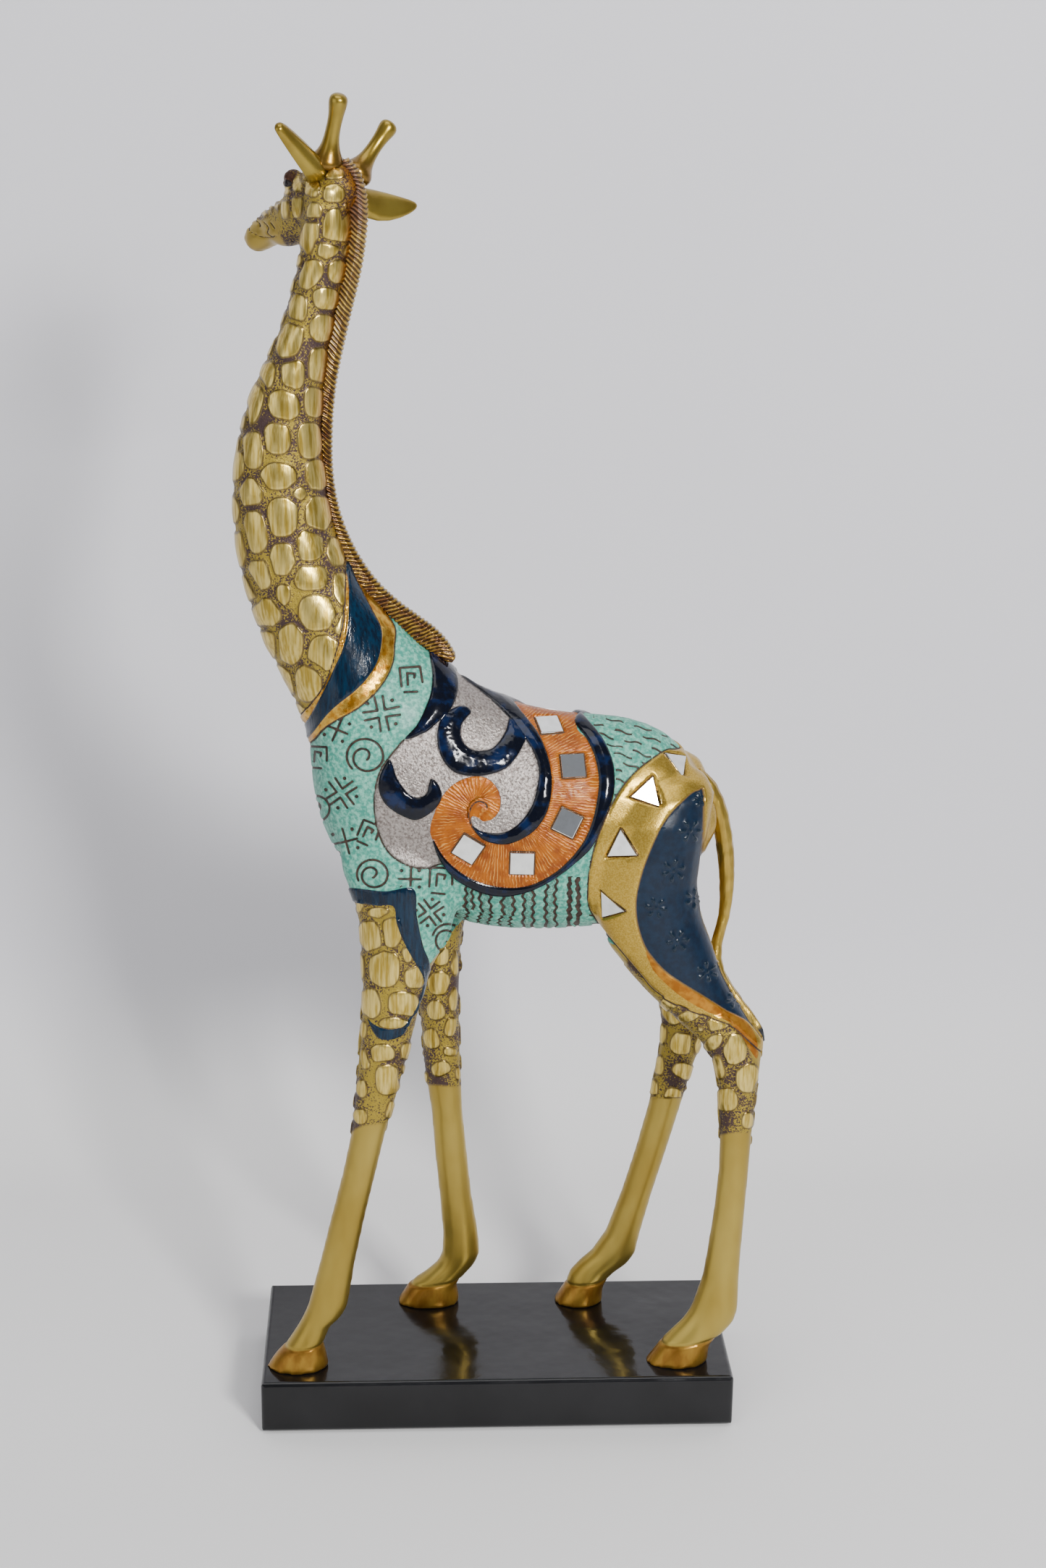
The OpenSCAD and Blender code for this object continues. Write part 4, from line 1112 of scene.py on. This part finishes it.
def paintedResin(name, layers):
    material, tree, shader = newMaterial(name)
    look = layPaint(tree, None, "gold", None)
    for layer in layers:
        soft = edgeSoft.get(layer, 0.14)
        at = attributeOf(tree, layer)
        inside = rampOf(tree, at, -soft, soft)
        look = layPaint(tree, look, "ground" if layer == "hide" else layer, inside)
        if layer in rimmed:
            rim = mathOf(tree, "MULTIPLY", rampOf(tree, at, -0.3, 0.1), rampOf(tree, at, 0.15, 0.7, 1, 0))
            strength = 0.8 if layer != "panel" else 0.6
            look["colour"] = mixColours(tree, mathOf(tree, "MULTIPLY", rim, strength), look["colour"],
                                        rimmed[layer])
        if layer == "panel":
            petals = rampOf(tree, attributeOf(tree, "flower"), -0.5, 0.15)
            look["colour"] = mixColours(tree, petals, look["colour"], (0.003, 0.011, 0.022))
            look["rough"] = mixNumbers(tree, petals, look["rough"], 0.24)
        if layer == "yoke":
            dark = mathOf(tree, "MULTIPLY", rampOf(tree, attributeOf(tree, "bar"), -0.1, 0.3),
                          rampOf(tree, noiseOf(tree, 1500, 2), 0.45, 0.55))
            look["colour"] = mixColours(tree, mathOf(tree, "MULTIPLY", dark, 0.75), look["colour"],
                                        (0.06, 0.10, 0.08))
    if "nearMane" in [a.name for a in pieces["neck"].data.attributes]:
        near = mathOf(tree, "MULTIPLY", rampOf(tree, attributeOf(tree, "nearMane"), 1.0, 7.5, 1, 0),
                      rampOf(tree, noiseOf(tree, 130, 2), 0.3, 0.6, 0.55, 1))
        high = addNode(tree, "ShaderNodeSeparateXYZ")
        tree.links.new(objectPlaces(tree), high.inputs[0])
        near = mathOf(tree, "MULTIPLY", near, rampOf(tree, high.outputs["Z"], 0.355, 0.40))
        look["colour"] = mixColours(tree, mathOf(tree, "MULTIPLY", near, 0.9), look["colour"],
                                    (0.55, 0.24, 0.04),
                                    "MULTIPLY")
    # Painted shade: the sunken gap round each mirror tile is darkened to dark brown, standing in for shadow
    # in the recess
    tileGapShade = rampOf(tree, attributeOf(tree, "recess"), -0.8, -0.3)
    look["colour"] = mixColours(tree, tileGapShade, look["colour"], (0.10, 0.06, 0.035))
    plug(tree, shader.inputs["Base Color"], look["colour"])
    plug(tree, shader.inputs["Roughness"], look["rough"])
    plug(tree, shader.inputs["Metallic"], look["metal"])
    bumpFrom(tree, shader, look["height"])
    shader.inputs["Specular IOR Level"].default_value = 0.28
    shader.inputs["Coat Weight"].default_value = 0.06
    shader.inputs["Coat Roughness"].default_value = 0.15
    return material


layersOf = {
    "torso": ["hide", "plate", "yoke", "field", "orange", "navy", "haunch", "strip", "panel", "goldBand",
              "teal", "ink"],
    "neck": ["hide", "plate", "goldBand", "teal", "ink"],
    "head": ["hide", "plate", "ink", "brow", "eye"],
    "legs": ["hide", "plate", "yoke", "haunch", "strip", "panel", "teal", "ink", "hoof"],
}
skinPaints = {key: paintedResin(key + "_paint", layers) for key, layers in layersOf.items()}
for name, piece in pieces.items():
    piece.data.materials.clear()
    piece.data.materials.append(skinPaints.get(name, skinPaints["legs"]))
    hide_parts(name)
    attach(piece, "root")
print("body painted")


mane = {
    "voxel": 0.3,
    "pitch": 1.9,
    "skew": 0.7,
    "cut": 0.5,
    "edge": [(-18, 329), (-21, 334.5), (-27, 341), (-38, 349), (-47, 357), (-54, 366), (-59.5, 376),
             (-63.5, 387),
             (-65.8, 399), (-66.4, 411), (-65.8, 426), (-64, 440), (-61, 454), (-57.8, 468), (-55, 480),
             (-53.2, 491), (-52.4, 502), (-52.9, 510.5), (-55.2, 518), (-59.5, 522.6)],
}


def makeMane():
    obj = castBlank("mane_hair", ["mane"], mane["voxel"])
    relax(obj.data, 8)
    co = vertexPlaces(obj.data) / mm
    out = vertexNormals(obj.data)
    flat = co[:, [0, 2]]
    line = smoothLine(mane["edge"], steps=4)
    along = alongLine(flat, line)
    depth = np.full(len(co), 1e9)
    for a, b in zip(line[:-1], line[1:]):
        t = np.clip(((flat - a) @ (b - a)) / ((b - a) @ (b - a)), 0, 1)
        depth = np.minimum(depth, np.hypot(*(flat - a - t[:, None] * (b - a)).T))
    wander = smoothNoise(co, 7, 31) * 0.35
    rib = (along - mane["skew"] * depth + wander) / mane["pitch"]
    notch = 0.5 + 0.5 * np.cos(2 * math.pi * rib)
    strength = ramp(along, 0, 10) * (0.65 + 0.35 * ramp(depth, 0, 2))
    co += out * (-mane["cut"] * notch**2 * strength + mane["cut"] * 0.5 * (1 - notch))[:, None]
    setPlaces(obj.data, co * mm)
    putAttribute(obj.data, "rib", rib)
    putAttribute(obj.data, "depth", depth)
    obj.data.shade_smooth()
    material, tree, shader = newMaterial("mane_bronze")
    wave = addNode(tree, "ShaderNodeMath", operation="SINE")
    tree.links.new(mathOf(tree, "MULTIPLY", attributeOf(tree, "rib"), 2 * math.pi), wave.inputs[0])
    turned = addNode(tree, "ShaderNodeMath", operation="COSINE")
    tree.links.new(mathOf(tree, "MULTIPLY", attributeOf(tree, "rib"), 2 * math.pi), turned.inputs[0])
    groove = rampOf(tree, turned.outputs[0], -0.25, 0.8)
    high = addNode(tree, "ShaderNodeSeparateXYZ")
    tree.links.new(objectPlaces(tree), high.inputs[0])
    z = high.outputs["Z"]
    mottle = noiseOf(tree, 260, 4)
    amber = mixColours(tree, rampOf(tree, mottle, 0.35, 0.65), (0.12, 0.042, 0.004), (0.34, 0.19, 0.018))
    gold = mixColours(tree, rampOf(tree, mottle, 0.35, 0.65), (0.19, 0.09, 0.012), (0.40, 0.25, 0.04))
    copper = mixColours(tree, rampOf(tree, mottle, 0.35, 0.65), (0.10, 0.038, 0.012), (0.19, 0.082, 0.028))
    colour = mixColours(tree, rampOf(tree, z, 0.425, 0.460), amber, gold)
    colour = mixColours(tree, rampOf(tree, z, 0.492, 0.503), colour, copper)
    rim = rampOf(tree, attributeOf(tree, "depth"), 0.4, 1.8, 1, 0)
    colour = mixColours(tree, mathOf(tree, "MULTIPLY", rim, 0.45), colour, (0.50, 0.34, 0.07))
    # Painted shade: the rib grooves cut into the mane are darkened to near black, standing in for shadow in
    # the cuts
    colour = mixColours(tree, mathOf(tree, "MULTIPLY", groove, 0.9), colour, (0.035, 0.012, 0.004))
    plug(tree, shader.inputs["Base Color"], colour)
    plug(tree, shader.inputs["Roughness"], mixNumbers(tree, rampOf(tree, z, 0.425, 0.50), 0.24, 0.46))
    plug(tree, shader.inputs["Metallic"], mixNumbers(tree, rampOf(tree, z, 0.42, 0.50), 0.7, 0.4))
    bumpFrom(tree, shader, mathOf(tree, "ADD", mathOf(tree, "MULTIPLY", mottle, 0.12),
                                  mathOf(tree, "MULTIPLY", groove, -0.12)))
    shader.inputs["Coat Weight"].default_value = 0.3
    shader.inputs["Coat Roughness"].default_value = 0.15
    obj.data.materials.append(material)
    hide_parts("mane")
    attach(obj, "root")


makeMane()
print("mane carved")


# A mottled metallic paint on its own
def metallicPaint(name, light, dark, scale, rough, metal, tint=None, tintBelow=None):
    material, tree, shader = newMaterial(name)
    mottle = noiseOf(tree, scale, 3, stretch=(1, 1, 0.5))
    colour = mixColours(tree, rampOf(tree, mottle, 0.3, 0.7), dark, light)
    if tint:
        high = attributeOf(tree, tintBelow)
        colour = mixColours(tree, high, colour, tint)
    plug(tree, shader.inputs["Base Color"], colour)
    plug(tree, shader.inputs["Roughness"], mathOf(tree, "ADD",
                                                  mathOf(tree, "MULTIPLY", noiseOf(tree, 700), 0.10),
                                                  rough - 0.05))
    shader.inputs["Metallic"].default_value = metal
    bumpFrom(tree, shader, mathOf(tree, "MULTIPLY", noiseOf(tree, 900), 0.04))
    shader.inputs["Coat Weight"].default_value = 0.25
    shader.inputs["Coat Roughness"].default_value = 0.15
    return material


hornPaint = metallicPaint("horn_gold", (0.33, 0.235, 0.035), (0.235, 0.155, 0.018), 70, 0.3, 0.88,
                          (0.17, 0.085, 0.010), "stain")


horns = {
    "side": 7.5,
    "dirs": [(16.2, -6.6, 11.75), (10.4, 6.1, 13.6)],
    "lengths": [21.0, 19.0],
    # height above the root against a 21 mm horn, and radius
    "profile": [(-4.5, 5.2), (-2.5, 6.3), (-0.6, 6.2), (0.8, 5.4), (2.6, 4.3), (5, 3.45), (8, 2.95),
                (11.5, 2.75),
                (15, 2.8), (17.6, 3.05), (19.6, 3.4), (21.4, 3.62), (22.9, 3.5), (24.0, 2.8), (24.6, 1.5)],
}


def makeHorn(side):
    bm = bmesh.new()
    stretch = horns["lengths"][side] / 21.0
    ends = []
    for h, r in horns["profile"]:
        h = h * stretch if h > 0 else h
        ends.append(bm.verts.new(Vector((r, 0, h)) * mm))
    top = bm.verts.new(Vector((0, 0, 24.75 * stretch)) * mm)
    ends.append(top)
    chain = [bm.edges.new(pair) for pair in zip(ends[:-1], ends[1:])]
    bmesh.ops.spin(bm, geom=chain + ends, cent=(0, 0, 0), axis=(0, 0, 1), dvec=(0, 0, 0), angle=2 * math.pi,
                   steps=36, use_merge=True, use_duplicate=False)
    bmesh.ops.remove_doubles(bm, verts=bm.verts, dist=0.02 * mm)
    rim = [e for e in bm.edges if e.is_boundary]
    bmesh.ops.holes_fill(bm, edges=rim, sides=0)
    bmesh.ops.recalc_face_normals(bm, faces=bm.faces[:])
    stained = [v.co.z / mm for v in bm.verts]
    up = (headTurn @ Vector(horns["dirs"][side])).normalized()
    root = headOrigin + headTurn @ Vector((0, (2 * side - 1) * horns["side"], -1))
    turn = up.to_track_quat("Z", "Y").to_matrix().to_4x4()
    for vert in bm.verts:
        bend = math.sin(vert.co.z / mm * 0.5 + side * 2) * 0.1
        vert.co.x += bend * mm
    bmesh.ops.transform(bm, matrix=Matrix.Translation(root * mm) @ turn, verts=bm.verts)
    name = ("left", "right")[side] + "_horn"
    mesh = bpy.data.meshes.new(name + "_cast")
    bm.to_mesh(mesh)
    bm.free()
    putAttribute(mesh, "stain", 0.85 * ramp(-np.array(stained), -7, -0.5))
    mesh.shade_smooth()
    mesh.materials.append(hornPaint)
    obj = linked(name + "_cast", mesh)
    smooth = obj.modifiers.new("smooth", "SUBSURF")
    smooth.levels = smooth.render_levels = 1
    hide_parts(name)
    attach(obj, "root")


for side in (0, 1):
    makeHorn(side)
print("horns turned")


ears = {
    "roots": [(-5, -10.5, -6), (-4, 8.5, -12.8)],
    "dirs": [(7.9, -22, 6.1), (5.1, 22, 3.4)],
    "long": 26.5,
    # share of the length, half height, half thickness, how far the middle line dips
    "rows": [[(-0.1, 3.4, 4.4, 0), (0.0, 4.6, 5.1, 0), (0.14, 5.2, 5.1, 0), (0.3, 5.0, 4.7, 0.1),
              (0.5, 4.5, 4.1, 0.2),
              (0.7, 3.8, 3.4, 0.2), (0.86, 3.1, 2.8, 0.1), (0.95, 2.4, 2.2, 0), (1.0, 1.2, 1.2, 0)],
             [(-0.1, 4.2, 3.2, 0), (0.0, 5.2, 3.6, 0), (0.14, 5.9, 3.4, -0.2), (0.3, 6.1, 2.8, -0.8),
              (0.5, 5.5, 2.2, -1.0), (0.7, 4.2, 1.7, -0.7), (0.86, 2.8, 1.3, -0.2), (0.95, 1.6, 1.0, 0.2),
              (1.0, 0.6, 0.5, 0.4)]],
    "hollow": 1.5,
}


def makeEar(side):
    rows = np.array(ears["rows"][side])
    bm = bmesh.new()
    bmesh.ops.create_uvsphere(bm, u_segments=40, v_segments=36, radius=1)
    long = Vector(ears["dirs"][side]).normalized()
    high = long.cross(Vector((0.25, 0, 1))).cross(long).normalized()
    thick = high.cross(long)
    if thick.x > 0:
        thick = -thick
    root = Vector(ears["roots"][side])
    shade = []
    for vert in bm.verts:
        share = math.acos(max(-1, min(1, -vert.co.z))) / math.pi
        share = -0.1 + 1.1 * share
        ring = math.hypot(vert.co.x, vert.co.y)
        c, s = (vert.co.x / ring, vert.co.y / ring) if ring > 1e-5 else (0, 0)
        h, t, dip = (np.interp(share, rows[:, 0], rows[:, k]) for k in (1, 2, 3))
        if ring <= 1e-5:
            h = t = 0
        cup = 0
        if s > 0:
            cup = (t + ears["hollow"] * 0.6) * s * ramp(share, 0.02, 0.25) * (1 - ramp(share, 0.9, 1.0))
        place = long * (share * ears["long"]) + high * (h * c + dip) + thick * (t * s - cup)
        vert.co = (headOrigin + headTurn @ (root + place)) * mm
        shade.append(float(s > 0.12) * float(ramp(share, 0.05, 0.2)))
    bmesh.ops.recalc_face_normals(bm, faces=bm.faces[:])
    name = ("left", "right")[side] + "_ear"
    mesh = bpy.data.meshes.new(name + "_cast")
    bm.to_mesh(mesh)
    bm.free()
    putAttribute(mesh, "stain", 0.85 * np.array(shade))
    mesh.shade_smooth()
    mesh.materials.append(hornPaint)
    obj = linked(name + "_cast", mesh)
    smooth = obj.modifiers.new("smooth", "SUBSURF")
    smooth.levels = smooth.render_levels = 1
    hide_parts(name)
    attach(obj, "root")


for side in (0, 1):
    makeEar(side)
print("ears shaped")


tail = {"voxel": 0.45, "strands": 5, "cut": 0.25, "tuft": 172.0}


def makeTail():
    obj = castBlank("tail_cast", ["tail"], tail["voxel"])
    relax(obj.data, 20)
    co = vertexPlaces(obj.data) / mm
    out = vertexNormals(obj.data)
    flute = np.sin(np.arctan2(out[:, 1], out[:, 0]) * tail["strands"] + co[:, 2] * 0.06)
    lower = ramp(-co[:, 2], -200, -185)
    co += out * (tail["cut"] * flute * lower + 0.12 * smoothNoise(co, 6, 41))[:, None]
    setPlaces(obj.data, co * mm)
    putAttribute(obj.data, "tuft", ramp(tail["tuft"] - co[:, 2] + 0.5 * (co[:, 0] - 106), -1.5, 1.5))
    obj.data.shade_smooth()
    material, tree, shader = newMaterial("tail_gold")
    mottle = noiseOf(tree, 90, 3, stretch=(3, 3, 0.5))
    colour = mixColours(tree, rampOf(tree, mottle, 0.3, 0.7), (0.33, 0.21, 0.03), (0.47, 0.32, 0.06))
    tuft = attributeOf(tree, "tuft")
    plug(tree, shader.inputs["Base Color"], mixColours(tree, tuft, colour, (0.004, 0.006, 0.010)))
    plug(tree, shader.inputs["Metallic"], mixNumbers(tree, tuft, 0.9, 0.0))
    shader.inputs["Roughness"].default_value = 0.33
    bumpFrom(tree, shader, mathOf(tree, "MULTIPLY", noiseOf(tree, 500, 3, stretch=(3, 3, 0.4)), 0.15))
    shader.inputs["Coat Weight"].default_value = 0.2
    obj.data.materials.append(material)
    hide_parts("tail")
    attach(obj, "root")


makeTail()
print("tail cast")


tiles = {"bevel": 0.3}


def silvered():
    material, tree, shader = newMaterial("silvered_glass")
    haze = noiseOf(tree, 220, 4)
    colour = mixColours(tree, rampOf(tree, haze, 0.35, 0.75), (0.86, 0.87, 0.85), (0.72, 0.73, 0.70))
    plug(tree, shader.inputs["Base Color"], colour)
    plug(tree, shader.inputs["Roughness"], rampOf(tree, haze, 0.3, 0.8, 0.03, 0.12))
    shader.inputs["Metallic"].default_value = 1.0
    bumpFrom(tree, shader, mathOf(tree, "MULTIPLY", noiseOf(tree, 60, 2), 0.12))
    return material


tileGlass = silvered()
for node in mirrorNodes:
    bm = bmesh.new()
    bm.from_mesh(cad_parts[node].data)
    bmesh.ops.remove_doubles(bm, verts=bm.verts, dist=0.01 * mm)
    bmesh.ops.dissolve_limit(bm, angle_limit=0.02, verts=bm.verts, edges=bm.edges)
    bmesh.ops.bevel(bm, geom=bm.edges[:], offset=tiles["bevel"] * mm, segments=2, profile=0.5, affect="EDGES",
                    material=-1)
    bmesh.ops.recalc_face_normals(bm, faces=bm.faces[:])
    mesh = bpy.data.meshes.new(node + "_glass")
    bm.to_mesh(mesh)
    bm.free()
    mesh.materials.append(tileGlass)
    glass = linked(node + "_glass", mesh)
    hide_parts(node)
    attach(glass, "root")
print("tiles set")


def lacquer():
    material, tree, shader = newMaterial("black_lacquer")
    wavy = noiseOf(tree, 26, 3)
    fine = noiseOf(tree, 420, 3)
    colour = mixColours(tree, rampOf(tree, wavy, 0.35, 0.7), (0.0035, 0.0035, 0.004), (0.008, 0.008, 0.009))
    plug(tree, shader.inputs["Base Color"], colour)
    plug(tree, shader.inputs["Roughness"], rampOf(tree, noiseOf(tree, 55, 4), 0.35, 0.7, 0.10, 0.22))
    shader.inputs["Specular IOR Level"].default_value = 0.36
    height = mathOf(tree, "ADD", mathOf(tree, "MULTIPLY", wavy, 0.9), mathOf(tree, "MULTIPLY", fine, 0.03))
    bumpFrom(tree, shader, height)
    return material


def feltCloth():
    material, tree, shader = newMaterial("green_felt")
    colour = mixColours(tree, noiseOf(tree, 2600, 4), (0.012, 0.035, 0.018), (0.035, 0.085, 0.045))
    plug(tree, shader.inputs["Base Color"], colour)
    shader.inputs["Roughness"].default_value = 0.95
    shader.inputs["Sheen Weight"].default_value = 0.4
    bumpFrom(tree, shader, mathOf(tree, "MULTIPLY", noiseOf(tree, 3000, 4), 0.3))
    return material


def pinSteel():
    material, tree, shader = newMaterial("pin_steel")
    plug(tree, shader.inputs["Base Color"], mixColours(tree, noiseOf(tree, 500), (0.45, 0.45, 0.46),
                                                       (0.6, 0.6, 0.6)))
    shader.inputs["Metallic"].default_value = 1.0
    plug(tree, shader.inputs["Roughness"], rampOf(tree, noiseOf(tree, 900), 0.3, 0.7, 0.25, 0.4))
    return material


def giveNode(node, material):
    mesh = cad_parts[node].data
    mesh.materials.clear()
    mesh.materials.append(material)


giveNode("base_plinth", lacquer())
giveNode("base_felt", feltCloth())
steelLook = pinSteel()
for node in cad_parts:
    if node.endswith("_pin"):
        giveNode(node, steelLook)
print("plinth, felt and pins finished")


studio = {
    "wallAt": 0.30,
    "wallCurve": 0.12,
    "wallHigh": 1.6,
    "half": 1.6,
    "front": -2.2,
    "key": {"place": (0.62, -1.35, 0.98), "aim": (-0.02, 0, 0.30), "size": (0.30, 0.30), "power": 32},
    "fill": {"place": (-1.5, -1.2, 0.75), "aim": (0, 0, 0.28), "size": (1.5, 1.5), "power": 9},
    "top": {"place": (0.0, -0.35, 1.75), "aim": (0, 0.05, 0.2), "size": (1.1, 0.8), "power": 8},
    "world": 0.31,
}


def makeStage():
    bm = bmesh.new()
    half = studio["half"]
    a = bm.verts.new((-half, studio["front"], 0))
    b = bm.verts.new((half, studio["front"], 0))
    edge = bm.edges.new((a, b))
    path = [(studio["wallAt"] - studio["wallCurve"], 0.0)]
    for k in range(1, 13):
        angle = math.pi / 2 * k / 12
        path.append((studio["wallAt"] - studio["wallCurve"] * (1 - math.sin(angle)),
                     studio["wallCurve"] * (1 - math.cos(angle))))
    path.append((studio["wallAt"], studio["wallHigh"]))
    was = (studio["front"], 0.0)
    for y, z in path:
        grown = bmesh.ops.extrude_edge_only(bm, edges=[edge])["geom"]
        moved = [v for v in grown if isinstance(v, bmesh.types.BMVert)]
        bmesh.ops.translate(bm, verts=moved, vec=(0, y - was[0], z - was[1]))
        edge = next(e for e in grown if isinstance(e,
                                                   bmesh.types.BMEdge) and all(v in moved for v in e.verts))
        was = (y, z)
    bmesh.ops.recalc_face_normals(bm, faces=bm.faces[:])
    mesh = bpy.data.meshes.new("sweep")
    bm.to_mesh(mesh)
    bm.free()
    mesh.shade_smooth()
    sweep = linked("sweep", mesh)
    material, tree, shader = newMaterial("sweep_paper")
    shade = noiseOf(tree, 3, 2)
    colour = mixColours(tree, shade, (0.70, 0.69, 0.72), (0.74, 0.73, 0.76))
    high = addNode(tree, "ShaderNodeSeparateXYZ")
    tree.links.new(objectPlaces(tree), high.inputs[0])
    colour = mixColours(tree, rampOf(tree, high.outputs["Z"], 0.0, 0.1), (0.80, 0.79, 0.78), colour)
    plug(tree, shader.inputs["Base Color"], colour)
    shader.inputs["Roughness"].default_value = 0.8
    mesh.materials.append(material)


def areaLight(name):
    settings = studio[name]
    data = bpy.data.lights.new(name, "AREA")
    data.shape = "RECTANGLE"
    data.size, data.size_y = settings["size"]
    data.energy = settings["power"]
    obj = bpy.data.objects.new(name, data)
    place, aim = Vector(settings["place"]), Vector(settings["aim"])
    obj.matrix_world = Matrix.Translation(place) @ (aim - place).to_track_quat("-Z", "Y").to_matrix().to_4x4()
    bpy.context.scene.collection.objects.link(obj)


def setRoom():
    world = bpy.data.worlds.new("room")
    bpy.context.scene.world = world
    world.use_nodes = True
    world.node_tree.nodes["Background"].inputs["Color"].default_value = (0.86, 0.90, 1.0, 1)
    world.node_tree.nodes["Background"].inputs["Strength"].default_value = studio["world"]


makeStage()
setRoom()
for light in ("key", "fill", "top"):
    areaLight(light)
print("studio ready")
